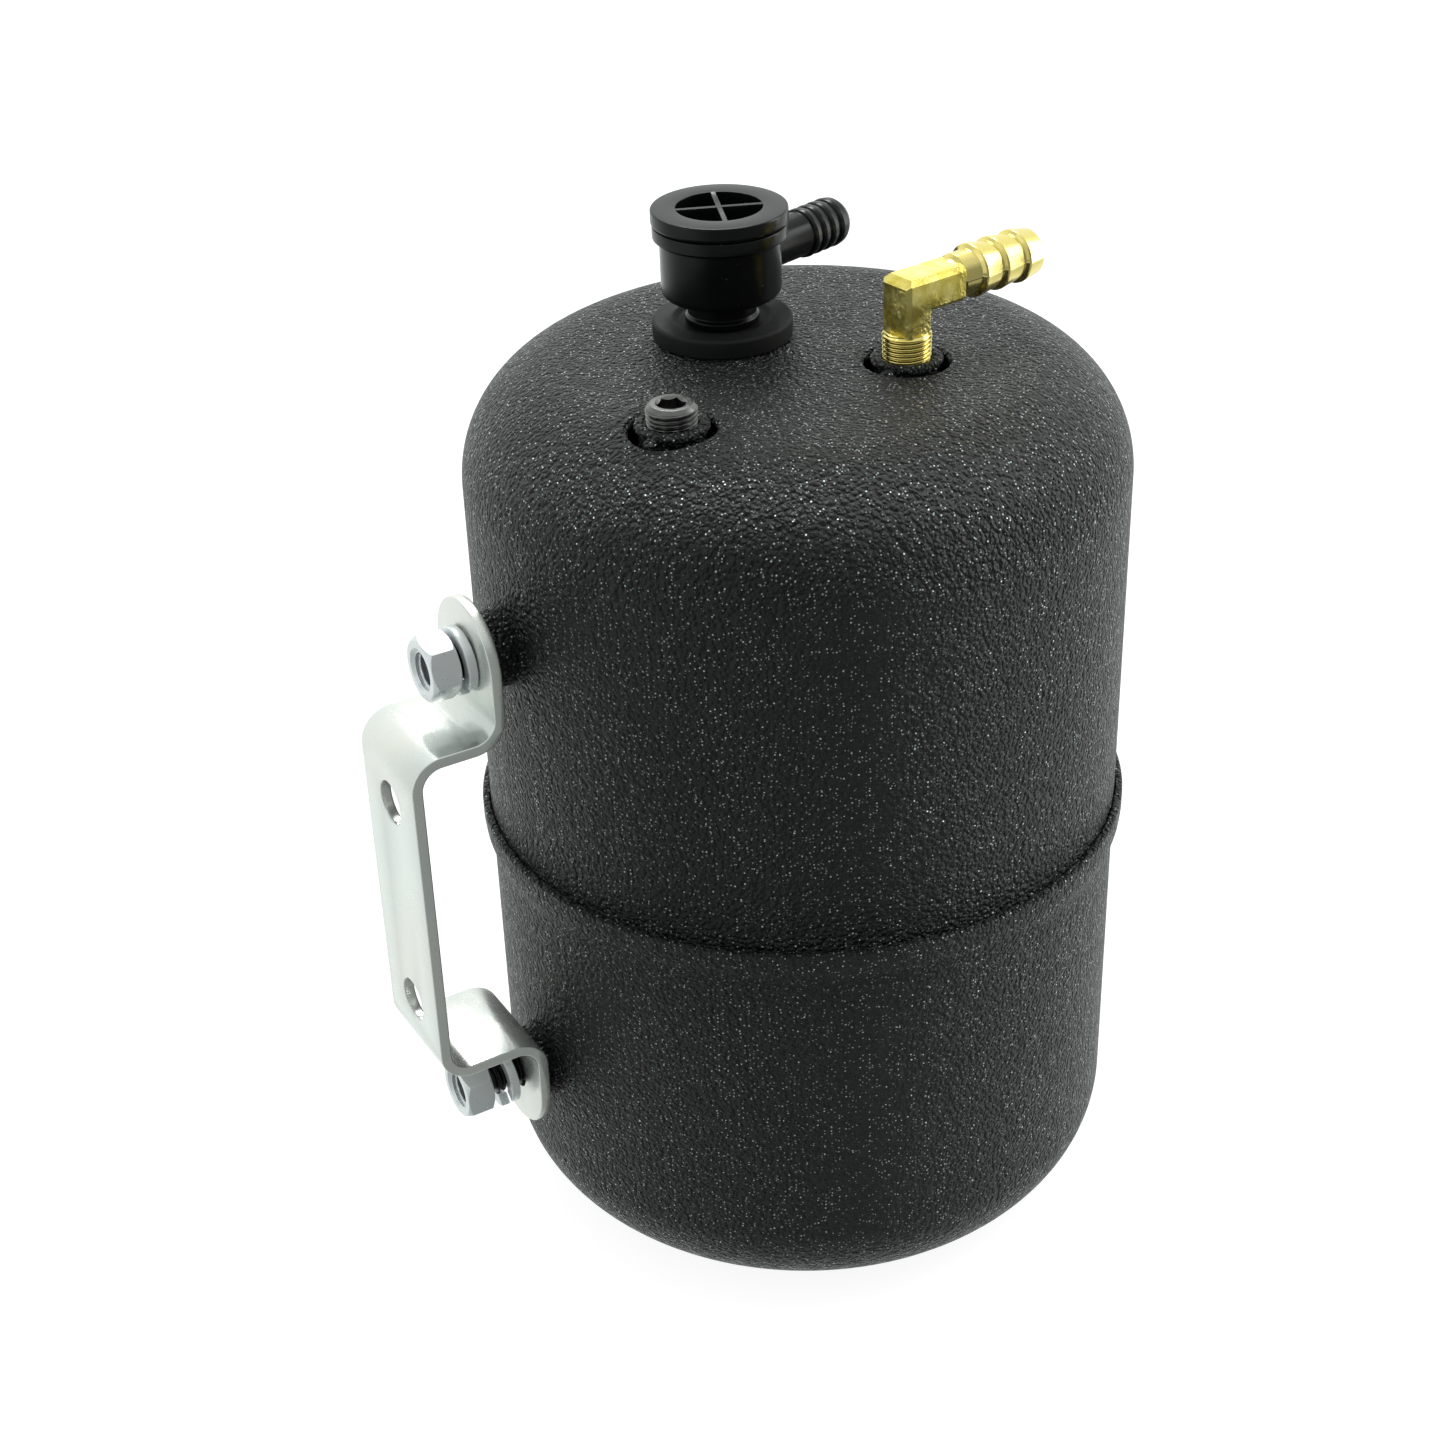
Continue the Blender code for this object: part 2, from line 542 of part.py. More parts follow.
def build_stud_set(name, z, tab_u, nut_u, nut_turn, tilt, washer_u, coat, black, zinc):
    level = Vector((0, 0, z))
    boss = add_object(f"{name}_stud_boss", cylinder(BOSS_R, 60 * MM, tab_u - GAP, 28), coat)
    place(boss, level, OUTWARD)
    wall = add_object(f"{name}_boss_saddle", cylinder(TANK_R + GAP, -20 * MM, 20 * MM, 72))
    place(wall, level)
    combine(boss, wall, "DIFFERENCE")
    bore = add_object(f"{name}_boss_bore", cylinder(STUD_R + GAP, 55 * MM, 80 * MM, 20))
    place(bore, level, OUTWARD)
    combine(boss, bore, "DIFFERENCE")

    stud_end = nut_u + NUT_THICKNESS - STUD_RECESS
    chamfer = 0.7 * MM
    section = [(0, TANK_R + GAP), (STUD_R, TANK_R + GAP), (STUD_R, stud_end - chamfer)]
    section += [(STUD_R - chamfer, stud_end), (0, stud_end)]
    place(add_object(f"{name}_stud", lathe(section, 20), black), level, OUTWARD)

    hexagon, blank = nut(nut_turn)
    hexagon = add_object(f"{name}_hex_nut", hexagon, zinc)
    blank = add_object(f"{name}_nut_blank", blank)
    for piece in (hexagon, blank):
        place(piece, level - Vector((nut_u, 0, 0)), OUTWARD)
    combine(hexagon, blank, "INTERSECT")

    washer = add_object(f"{name}_lock_washer", lock_washer(), zinc)
    slant = Matrix.Rotation(math.radians(14), 4, "X")
    w, h = WASHER_SPLIT / 2, 6 * MM
    split = prism([(-8 * MM, -w), (0, -w), (0, w), (-8 * MM, w)], h)
    split = add_object(f"{name}_washer_split", split)
    rest = Matrix.Translation((0, 0, WASHER_T / 2))
    lean = OUTWARD @ Matrix.Rotation(tilt, 4, "Y") @ rest.inverted()
    seat = level - Vector((washer_u + WASHER_T / 2, 0, 0))
    place(washer, seat, lean)
    split_turn = Matrix.Rotation(math.radians(55), 4, "Z")
    place(split, seat, lean @ split_turn @ rest @ slant @ Matrix.Translation((0, 0, -h / 2)))
    combine(washer, split, "DIFFERENCE")


def main():
    clear_scene()
    coat = material("wrinkle_coat", (0.022, 0.023, 0.023), 0.55)
    brass = material("brass", (0.83, 0.68, 0.25), 0.22, 1.0)
    dark_steel = material("dark_steel", (0.10, 0.10, 0.10), 0.42, 1.0)
    black_steel = material("black_stud", (0.02, 0.02, 0.022), 0.45, 0.6)
    zinc = material("zinc_plate", (0.72, 0.74, 0.70), 0.30, 1.0)
    blue_zinc = material("zinc_fastener", (0.66, 0.70, 0.73), 0.26, 1.0)
    rubber = material("grommet_rubber", (0.016, 0.016, 0.017), 0.75)
    plastic = material("valve_plastic", (0.014, 0.014, 0.015), 0.33)
    seal_rubber = material("seal_rubber", (0.03, 0.03, 0.03), 0.70)
    spring_steel = material("spring_steel", (0.62, 0.62, 0.64), 0.28, 1.0)

    build_canister(coat)
    build_elbow(brass)
    build_plug(dark_steel)
    build_valve(rubber, plastic, seal_rubber, spring_steel)
    build_bracket(zinc)
    build_stud_set("upper", SEAM_Z + STUD_HALF_SPACING, UPPER_TAB_U, UPPER_NUT_U, UPPER_NUT_TURN,
                   UPPER_WASHER_TILT, UPPER_WASHER_U, coat, black_steel, blue_zinc)
    build_stud_set("lower", SEAM_Z - STUD_HALF_SPACING, LOWER_TAB_U, LOWER_NUT_U, LOWER_NUT_TURN,
                   LOWER_WASHER_TILT, LOWER_WASHER_U, coat, black_steel, blue_zinc)


main()
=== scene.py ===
"""Looks for the vacuum reservoir canister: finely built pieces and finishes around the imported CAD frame.

Metres, +Z up the canister's axis. Every place and size that the CAD holds is read from its boxes.
"""

import math

import bmesh
import bpy
from mathutils import Matrix, Vector, geometry, noise


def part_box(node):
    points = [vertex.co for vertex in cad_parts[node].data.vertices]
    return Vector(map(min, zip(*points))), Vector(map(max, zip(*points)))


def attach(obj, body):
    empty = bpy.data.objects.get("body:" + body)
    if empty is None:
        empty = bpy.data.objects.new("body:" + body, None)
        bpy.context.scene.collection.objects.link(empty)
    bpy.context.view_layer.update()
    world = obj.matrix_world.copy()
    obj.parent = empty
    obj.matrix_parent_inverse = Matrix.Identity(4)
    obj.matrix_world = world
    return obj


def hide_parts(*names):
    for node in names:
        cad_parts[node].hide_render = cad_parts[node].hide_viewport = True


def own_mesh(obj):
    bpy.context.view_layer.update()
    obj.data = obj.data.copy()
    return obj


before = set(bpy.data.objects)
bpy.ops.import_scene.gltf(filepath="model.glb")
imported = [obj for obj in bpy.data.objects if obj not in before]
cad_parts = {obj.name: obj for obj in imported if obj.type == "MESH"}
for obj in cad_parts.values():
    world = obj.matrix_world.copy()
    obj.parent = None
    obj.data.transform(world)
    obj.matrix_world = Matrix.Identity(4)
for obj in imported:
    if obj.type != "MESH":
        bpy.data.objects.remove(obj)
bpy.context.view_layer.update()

MM = 0.001


# Places and sizes that the CAD holds

def low(node):
    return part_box(node)[0]


def high(node):
    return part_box(node)[1]


def middle(node):
    return (low(node) + high(node)) / 2


def rise(node):
    """A node's foot and top above the dome's flat top, in millimetres."""
    return (low(node).z - TOP) / MM, (high(node).z - TOP) / MM


TOP = high("upper_shell").z
RADIUS = high("upper_shell").x
SEAM = high("lower_shell").z
LIP_R = high("lower_shell").x
CUP_RIM = low("upper_shell").z
SHEET = 1.5 * MM
TOP_CORNER = 24.3 * MM
BASE_CORNER = 23.5 * MM

ELBOW = middle("elbow_port_bung").xy
PLUG = middle("plug_port_bung").xy
VALVE = middle("check_valve_cap").xy
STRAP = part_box("mounting_bracket")
STRAP_T = 2.4 * MM
TAB = {"upper": -low("upper_stud_boss").x + 0.3 * MM,  # inner faces; distances along -X are called u
       "lower": -low("lower_stud_boss").x + 0.3 * MM}
PLATE_FACE = -STRAP[0].x
STUD_Z = {"upper": middle("upper_stud").z, "lower": middle("lower_stud").z}

ELBOW_TURN = math.radians(7.5)
BARB_TURN = math.radians(16.0)
PIPE_R, PIPE_PITCH = 5.15 * MM, 0.94 * MM
THREAD_PITCH = 1.411 * MM
OUTWARD = Matrix(((0, 0, -1, 0), (0, 1, 0, 0), (1, 0, 0, 0), (0, 0, 0, 1)))  # turns +Z to point along -X
QUARTER_X = Matrix.Rotation(math.pi / 2, 4, "X")
QUARTER_Y = Matrix.Rotation(math.pi / 2, 4, "Y")


def lying(azimuth):
    """Turns +Z to point level at an azimuth."""
    return Matrix.Rotation(azimuth, 4, "Z") @ QUARTER_Y


def at(x, y, z, turn=None):
    """A place, turned if a turn is given."""
    return Matrix.Translation((x, y, z)) @ (turn or Matrix())


# Mesh building

def ring_points(centre, radius, count, start=0.0):
    """Points evenly round a circle, from the start angle on."""
    turns = [start + math.tau * i / count for i in range(count)]
    return [(centre[0] + radius * math.cos(a), centre[1] + radius * math.sin(a)) for a in turns]


def arc(x, y, radius, start, stop, count):
    """Points along part of a circle, both ends included; the angles are in degrees."""
    turns = [math.radians(start + (stop - start) * k / count) for k in range(count + 1)]
    return [(x + radius * math.cos(a), y + radius * math.sin(a)) for a in turns]


def fillets(corners, steps):
    """The closed outline of (x, y, radius) corners, each rounded to its radius."""
    outline = []
    count = len(corners)
    for i, (x, y, radius) in enumerate(corners):
        here = Vector((x, y))
        before = Vector(corners[i - 1][:2]) - here
        after = Vector(corners[(i + 1) % count][:2]) - here
        angle = before.angle(after)
        if radius <= 0 or angle > math.radians(178):
            outline.append((x, y))
            continue
        reach = min(radius / math.tan(angle / 2), 0.49 * before.length, 0.49 * after.length)
        radius = reach * math.tan(angle / 2)
        centre = here + (before.normalized() + after.normalized()).normalized() * radius / math.sin(angle / 2)
        start = here + before.normalized() * reach - centre
        end = here + after.normalized() * reach - centre
        sweep = math.atan2(start.cross(end), start.dot(end))
        for k in range(steps + 1):
            arm = Matrix.Rotation(sweep * k / steps, 2) @ start
            outline.append(tuple(centre + arm))
    return outline


def lathe(profile, segments):
    """The closed profile of (radius, height) turned about +Z. Points on the axis become single vertices."""
    bm = bmesh.new()
    rings = []
    for radius, height in profile:
        if radius < 1e-7:
            rings.append([bm.verts.new((0, 0, height))])
            continue
        rings.append([bm.verts.new((x, y, height)) for x, y in ring_points((0, 0), radius, segments)])
    for below, above in zip(rings, rings[1:] + rings[:1]):
        if len(below) == 1 and len(above) == 1:
            continue
        for i in range(segments):
            j = (i + 1) % segments
            if len(below) == 1:
                bm.faces.new((below[0], above[j], above[i]))
            elif len(above) == 1:
                bm.faces.new((below[i], below[j], above[0]))
            else:
                bm.faces.new((below[i], below[j], above[j], above[i]))
    return bm


def turned(outline, steps, segments):
    """The closed outline of (radius, height, rounding) corners in millimetres, rounded and turned about +Z."""
    return lathe(fillets([(r * MM, z * MM, f * MM) for r, z, f in outline], steps), segments)


def cylinder(radius, start, end, segments):
    return lathe([(0, start), (radius, start), (radius, end), (0, end)], segments)


def prism(outline, depth, bottom=0.0):
    """The closed outline of (x, y) points pushed along +Z."""
    bm = bmesh.new()
    face = bm.faces.new([bm.verts.new((x, y, bottom)) for x, y in outline])
    pushed = bmesh.ops.extrude_face_region(bm, geom=[face])["geom"]
    bmesh.ops.translate(bm, verts=[v for v in pushed if isinstance(v, bmesh.types.BMVert)], vec=(0, 0, depth))
    return bm


def threaded(major, pitch, bottom, top, lead, segments, rows, taper=0.0):
    """A right-hand threaded rod about +Z: V-shaped turns that run out in a chamfer of length lead at each end."""
    depth = 0.6 * pitch
    bm = bmesh.new()
    count = max(2, round((top - bottom) / pitch * rows))
    rings = []
    for k in range(count + 1):
        z = bottom + (top - bottom) * k / count
        end = min(z - bottom, top - z)
        limit = major - depth * max(0.0, 1 - end / lead)
        ring = []
        for i in range(segments):
            a = math.tau * i / segments
            phase = (z / pitch - a / math.tau) % 1.0
            flank = max(0.0, min(1.0, (abs(phase - 0.5) * 2 - 0.1) / 0.75))
            flank = flank * flank * (3 - 2 * flank)
            radius = min(limit, major - depth * flank) - taper * (top - z)
            ring.append(bm.verts.new((radius * math.cos(a), radius * math.sin(a), z)))
        rings.append(ring)
    for below, above in zip(rings, rings[1:]):
        for i in range(segments):
            j = (i + 1) % segments
            bm.faces.new((below[i], below[j], above[j], above[i]))
    for ring, order in ((rings[0], -1), (rings[-1], 1)):
        centre = bm.verts.new((0, 0, ring[0].co.z))
        for i in range(segments):
            pair = (ring[i], ring[(i + 1) % segments])[::order]
            bm.faces.new((*pair, centre))
    return bm


def swept(section, path, closed=False):
    """A tube: the section's (x, y) points placed in each (origin, x axis, y axis) of the path, with filled ends."""
    bm = bmesh.new()
    rings = [[bm.verts.new(o + ax * x + ay * y) for x, y in section] for o, ax, ay in path]
    n = len(section)
    pairs = list(zip(rings, rings[1:] + (rings[:1] if closed else [])))
    for below, above in pairs:
        for i in range(n):
            j = (i + 1) % n
            bm.faces.new((below[i], below[j], above[j], above[i]))
    if not closed:
        bm.faces.new(rings[0][::-1])
        bm.faces.new(rings[-1])
    return bm


def roughen(bm, amount, size, seed=0.0, keep=None):
    """Moves each vertex along its normal by a smooth noise of that size."""
    bm.normal_update()
    for v in bm.verts:
        if keep is None or keep(v.co):
            v.co += v.normal * amount * noise.noise(v.co / size + Vector((seed, seed * 1.7, -seed)))


def temporary(bm, matrix=None):
    """An object from a bmesh, with its normals facing out."""
    bmesh.ops.recalc_face_normals(bm, faces=bm.faces)
    mesh = bpy.data.meshes.new("cutter")
    bm.to_mesh(mesh)
    bm.free()
    obj = bpy.data.objects.new("cutter", mesh)
    bpy.context.scene.collection.objects.link(obj)
    obj.matrix_world = matrix or Matrix()
    return obj


WELD_GAP = 0.002 * MM


def applied(obj):
    """Keeps what the modifier makes, with the vertices it leaves almost touching merged and its slivers dropped."""
    bpy.context.view_layer.update()
    mesh = bpy.data.meshes.new_from_object(obj.evaluated_get(bpy.context.evaluated_depsgraph_get()))
    obj.modifiers.clear()
    bm = bmesh.new()
    bm.from_mesh(mesh)
    bmesh.ops.remove_doubles(bm, verts=bm.verts, dist=WELD_GAP)
    bmesh.ops.dissolve_degenerate(bm, edges=bm.edges, dist=WELD_GAP)
    bm.to_mesh(mesh)
    bm.free()
    old, obj.data = obj.data, mesh
    bpy.data.meshes.remove(old)


def combined(obj, bm, operation, matrix=None):
    """Applies an exact Boolean with a mesh that isn't kept."""
    other = temporary(bm, matrix)
    step = obj.modifiers.new("combine", "BOOLEAN")
    step.operation, step.object, step.solver = operation, other, "EXACT"
    applied(obj)
    bpy.data.objects.remove(other, do_unlink=True)


def softened(obj, width, angle, segments):
    """Rounds the edges that are sharper than the angle, and applies it."""
    step = obj.modifiers.new("soften", "BEVEL")
    step.width, step.segments, step.limit_method = width, segments, "ANGLE"
    step.angle_limit = math.radians(angle)
    applied(obj)


def piece(name, bm, finish, matrix=None):
    """A named object with its finish. finished() makes it ride its body."""
    obj = temporary(bm, matrix)
    obj.name = name
    obj.data.materials.append(finish)
    return obj


def finished(obj, body, replaced=(), sharp=38):
    """Shades the mesh smooth except across edges sharper than the angle, and ties it to the frame."""
    obj.data.name = obj.name
    obj.data.shade_smooth()
    obj.data.set_sharp_from_angle(angle=math.radians(sharp))
    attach(obj, body)
    if replaced:
        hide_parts(*replaced)


# Finishes

class Nodes:
    """Short calls for the shader nodes of one material, or of the world."""

    def __init__(self, name, world=False):
        self.owner = (bpy.data.worlds if world else bpy.data.materials).new(name)
        self.owner.use_nodes = True
        self.tree = self.owner.node_tree
        self.shader = self.tree.nodes["Background" if world else "Principled BSDF"]
        self.coords = self.tree.nodes.new("ShaderNodeTexCoord").outputs["Object"]

    def link(self, source, target):
        if isinstance(source, (int, float, tuple)):
            target.default_value = source
        else:
            self.tree.links.new(source, target)

    def node(self, kind, **inputs):
        made = self.tree.nodes.new("ShaderNode" + kind)
        for key, value in inputs.items():
            if hasattr(made, key):
                setattr(made, key, value)
            else:
                self.link(value, made.inputs[key.replace("_", " ").title() if key not in made.inputs else key])
        return made

    def noise(self, scale, detail=2.0, roughness=0.5, vector=None, distortion=0.0):
        made = self.node("TexNoise", Scale=scale, Detail=detail, Roughness=roughness, Distortion=distortion)
        self.link(vector or self.coords, made.inputs["Vector"])
        return made.outputs["Fac"]

    def cells(self, scale, feature="F1", vector=None):
        made = self.node("TexVoronoi", feature=feature, Scale=scale)
        self.link(vector or self.coords, made.inputs["Vector"])
        return made

    def math(self, operation, *inputs, kind="Math"):
        made = self.node(kind, operation=operation)
        for source, socket in zip(inputs, made.inputs):
            self.link(source, socket)
        return made.outputs[0]

    def vector(self, operation, *inputs):
        return self.math(operation, *inputs, kind="VectorMath")

    def dot(self, a, b):
        return self.vector("DOT_PRODUCT", a, b).node.outputs["Value"]

    def ramp(self, value, start, end, low_value=0.0, high_value=1.0):
        """Smoothly from low_value to high_value as value goes from start to end."""
        made = self.node("MapRange", interpolation_type="SMOOTHSTEP")
        for socket, number in zip(("Value", "From Min", "From Max", "To Min", "To Max"),
                                  (value, start, end, low_value, high_value)):
            self.link(number, made.inputs[socket])
        return made.outputs["Result"]

    def mix(self, factor, a, b, kind="RGBA"):
        made = self.node("Mix", data_type=kind)
        first, second, result = {"RGBA": (6, 7, 2), "VECTOR": (4, 5, 1)}[kind]  # the sockets of that kind
        for source, socket in ((factor, 0), (a, first), (b, second)):
            self.link(source, made.inputs[socket])
        return made.outputs[result]

    def bump(self, height, distance, strength=1.0):
        made = self.node("Bump", Strength=strength, Distance=distance)
        self.link(height, made.inputs["Height"])
        return made.outputs["Normal"]

    def wear(self, size):
        """How far a point is on a worn outer edge, from the bevelled normal."""
        bevel = self.node("Bevel", samples=4, Radius=size)
        flat = self.node("NewGeometry").outputs["Normal"]
        return self.ramp(self.dot(bevel.outputs[0], flat), 0.985, 0.90)

    def seen(self):
        """1 for what the camera sees directly."""
        return self.node("LightPath").outputs["Is Camera Ray"]

    def choice(self, factor, a, b):
        """A mix of the shaders of two nodes."""
        made = self.node("MixShader")
        for source, socket in zip((factor, a.outputs[0], b.outputs[0]), made.inputs):
            self.link(source, socket)
        return made

    def set(self, **values):
        for name, value in values.items():
            self.link(value, self.shader.inputs[name.replace("_", " ")])


def wrinkle_coat():
    """Black leathery powder coat: millimetre wrinkles, a finer grain, and small bright flecks."""
    n = Nodes("wrinkle_coat")
    half = (0.5, 0.5, 0.5)
    warp = n.noise(700, 2.0).node.outputs["Color"]
    shift = n.vector("SCALE", n.vector("SUBTRACT", warp, half))
    shift.node.inputs["Scale"].default_value = 0.0011
    warped = n.vector("ADD", n.coords, shift)
    wrinkles = n.cells(1050, "SMOOTH_F1", warped)
    wrinkles.inputs["Smoothness"].default_value = 0.35
    hills = n.math("SUBTRACT", 1.0, wrinkles.outputs["Distance"])
    grain = n.noise(3000, 3.0, 0.65)
    broad = n.noise(260, 2.0)
    height = n.math("ADD", hills, n.math("MULTIPLY", grain, 0.30))
    height = n.math("ADD", height, n.math("MULTIPLY", broad, 0.5))
    normal = n.bump(height, 0.0017, 1.0)

    fleck = n.cells(1500)
    near = n.ramp(fleck.outputs["Distance"], 0.32, 0.20)
    parts = n.node("SeparateColor")
    n.link(fleck.outputs["Color"], parts.inputs[0])
    chosen = n.ramp(parts.outputs[0], 0.52, 0.56)
    shine = n.math("POWER", parts.outputs[1], 1.6)
    mask = n.math("MULTIPLY", n.math("MULTIPLY", near, chosen), n.ramp(shine, 0.0, 1.0, 0.35, 1.0))
    # Each fleck is a small mirror with its own tilt
    tilt = n.vector("SUBTRACT", fleck.outputs["Color"], half)
    facing = n.vector("NORMALIZE", n.vector("MULTIPLY_ADD", tilt, (1.1, 1.1, 1.1), normal))

    tone = n.ramp(n.noise(95, 3.0), 0.3, 0.7)
    base = n.mix(tone, (0.0035, 0.0048, 0.0044, 1), (0.0062, 0.0072, 0.0064, 1))
    tint = n.mix(parts.outputs[2], (0.62, 0.80, 0.74, 1), (0.80, 0.80, 0.86, 1))
    n.set(Base_Color=n.mix(mask, base, tint), Metallic=mask,
          Roughness=n.ramp(n.noise(500, 2.0), 0.3, 0.7, 0.34, 0.47), Normal=n.mix(mask, normal, facing, "VECTOR"),
          Specular_IOR_Level=0.38)
    return n.owner


def plastic(name, colour, rough, grain, grain_depth):
    """Moulded plastic or rubber: faint mould texture, uneven gloss, dust and scuffed edges."""
    n = Nodes(name)
    fine = n.noise(grain, 3.0, 0.6)
    uneven = n.noise(140, 3.0)
    normal = n.bump(n.math("ADD", fine, n.math("MULTIPLY", uneven, 1.5)), grain_depth, 0.7)
    dust = n.cells(900)
    speck = n.math("MULTIPLY", n.ramp(dust.outputs["Distance"], 0.10, 0.05),
                   n.ramp(n.noise(320, 1.0), 0.66, 0.72))
    pale = tuple(min(1.0, c * 3 + 0.02) for c in colour)
    worn = n.math("MULTIPLY", n.wear(0.00035), n.ramp(n.noise(1500, 2.0), 0.35, 0.7, 0.2, 0.8))
    base = n.mix(worn, (*colour, 1), (*pale, 1))
    base = n.mix(n.math("MULTIPLY", speck, 0.6), base, (0.35, 0.35, 0.33, 1))
    n.set(Base_Color=base, Normal=normal, Specular_IOR_Level=0.22,
          Roughness=n.ramp(n.noise(60, 4.0, 0.6), 0.3, 0.7, rough - 0.05, rough + 0.06))
    return n.owner


def metal(name, colour, second, rough, spread, mottling=55, pit_depth=0.00002, grain=1400, streak=(1, 1, 1),
          metallic=1.0):
    """Bare or plated metal: mottled tint, fine streaked grain, pits and brighter rubbed edges."""
    n = Nodes(name)
    cloud = n.ramp(n.noise(mottling, 4.0, 0.6), 0.3, 0.7)
    fine = n.noise(grain, 3.0, 0.6, n.vector("MULTIPLY", n.coords, streak))
    pits = n.cells(1100)
    pit = n.math("MULTIPLY", n.ramp(pits.outputs["Distance"], 0.16, 0.06), n.ramp(n.noise(180, 1.0), 0.60, 0.68))
    height = n.math("SUBTRACT", fine, n.math("MULTIPLY", pit, 2.0))
    bright = tuple(min(1.0, c * 1.12 + 0.03) for c in colour)
    base = n.mix(cloud, (*colour, 1), (*second, 1))
    base = n.mix(n.math("MULTIPLY", n.wear(0.0003), 0.6), base, (*bright, 1))
    base = n.mix(n.math("MULTIPLY", pit, 0.7), base, tuple(c * 0.25 for c in colour) + (1,))
    n.set(Base_Color=base, Metallic=metallic, Normal=n.bump(height, pit_depth, 0.8),
          Roughness=n.ramp(n.math("ADD", n.math("MULTIPLY", fine, 0.5), n.math("MULTIPLY", cloud, 0.5)),
                           0.3, 0.7, rough, rough + spread))
    return n.owner


def forged_brass():
    """Brass as forged: dents and pits over a satin skin."""
    n = Nodes("forged_brass")
    dents = n.cells(1500, "SMOOTH_F1")
    dents.inputs["Smoothness"].default_value = 0.5
    lumps = n.noise(950, 3.0, 0.6, distortion=0.6)
    patch = n.ramp(n.noise(150, 2.0), 0.42, 0.62, 0.15, 1.0)
    rough_height = n.math("MULTIPLY", n.math("ADD", lumps, n.math("MULTIPLY", dents.outputs["Distance"], 0.7)), patch)
    normal = n.bump(rough_height, 0.00020, 0.75)
    tone = n.ramp(n.noise(240, 3.0), 0.3, 0.7)
    base = n.mix(tone, (0.74, 0.60, 0.11, 1), (0.92, 0.80, 0.28, 1))
    n.set(Base_Color=base, Metallic=1.0, Normal=normal,
          Roughness=n.ramp(lumps, 0.3, 0.7, 0.30, 0.42))
    return n.owner


COAT = wrinkle_coat()
RUBBER = plastic("grommet_rubber", (0.009, 0.0095, 0.0095), 0.60, 1800, 0.00004)
PLASTIC = plastic("valve_plastic", (0.0035, 0.0040, 0.0040), 0.24, 1300, 0.000012)
SEAL = plastic("seal_rubber", (0.03, 0.03, 0.03), 0.6, 2000, 0.00003)
BRASS = metal("turned_brass", (0.88, 0.74, 0.27), (0.84, 0.69, 0.20), 0.16, 0.10, 90, 0.000012, 1600)
FORGED = forged_brass()
ZINC = metal("zinc_plate", (0.70, 0.74, 0.72), (0.80, 0.80, 0.75), 0.22, 0.10, 38, 0.00001, 900, (1, 1, 0.25), 0.78)
BLUE_ZINC = metal("blue_zinc", (0.74, 0.78, 0.80), (0.79, 0.81, 0.82), 0.24, 0.12, 120, 0.00001, 1200, metallic=0.5)
PLUG_STEEL = metal("oiled_steel", (0.17, 0.17, 0.165), (0.13, 0.13, 0.127), 0.26, 0.14, 300, 0.00002, 1600)
BLACK_STEEL = metal("black_stud", (0.035, 0.036, 0.038), (0.06, 0.06, 0.06), 0.34, 0.12, 300, 0.00002, 1600)
SPRING_STEEL = metal("spring_steel", (0.62, 0.62, 0.64), (0.5, 0.5, 0.52), 0.2, 0.1, 300)


# Canister

PORTS = ((ELBOW, math.radians(-152)), (PLUG, math.radians(-150)))  # each with its weld tab's azimuth
HOLE_R = 8.85 * MM
GROMMET_HOLE_R = 10.3 * MM
DOME_SPLIT = 62.0 * MM
SHELL_SEGMENTS = 360


def dome_height(radius):
    """The drawn cup's outside height at a radius: flat, then a round corner."""
    flat = RADIUS - TOP_CORNER
    if radius <= flat:
        return TOP
    return TOP - TOP_CORNER + math.sqrt(max(0.0, TOP_CORNER ** 2 - (radius - flat) ** 2))


def port_dip(x, y):
    """How far the sheet's edge curls down at each port, with a faint crease around it."""
    drop = 0.0
    for (px, py), _ in PORTS:
        d = math.hypot(x - px, y - py)
        around = math.atan2(y - py, x - px)
        wobble = 0.12 * MM * noise.noise(Vector((math.cos(around) * 2, math.sin(around) * 2, px * 90)))
        curl = max(0.0, 1 - (d - HOLE_R) / (0.75 * MM + wobble))
        drop += 0.55 * MM * curl ** 2
        drop += 0.16 * MM * math.exp(-((d - 10.5 * MM - wobble) / (0.35 * MM)) ** 2)
    return drop


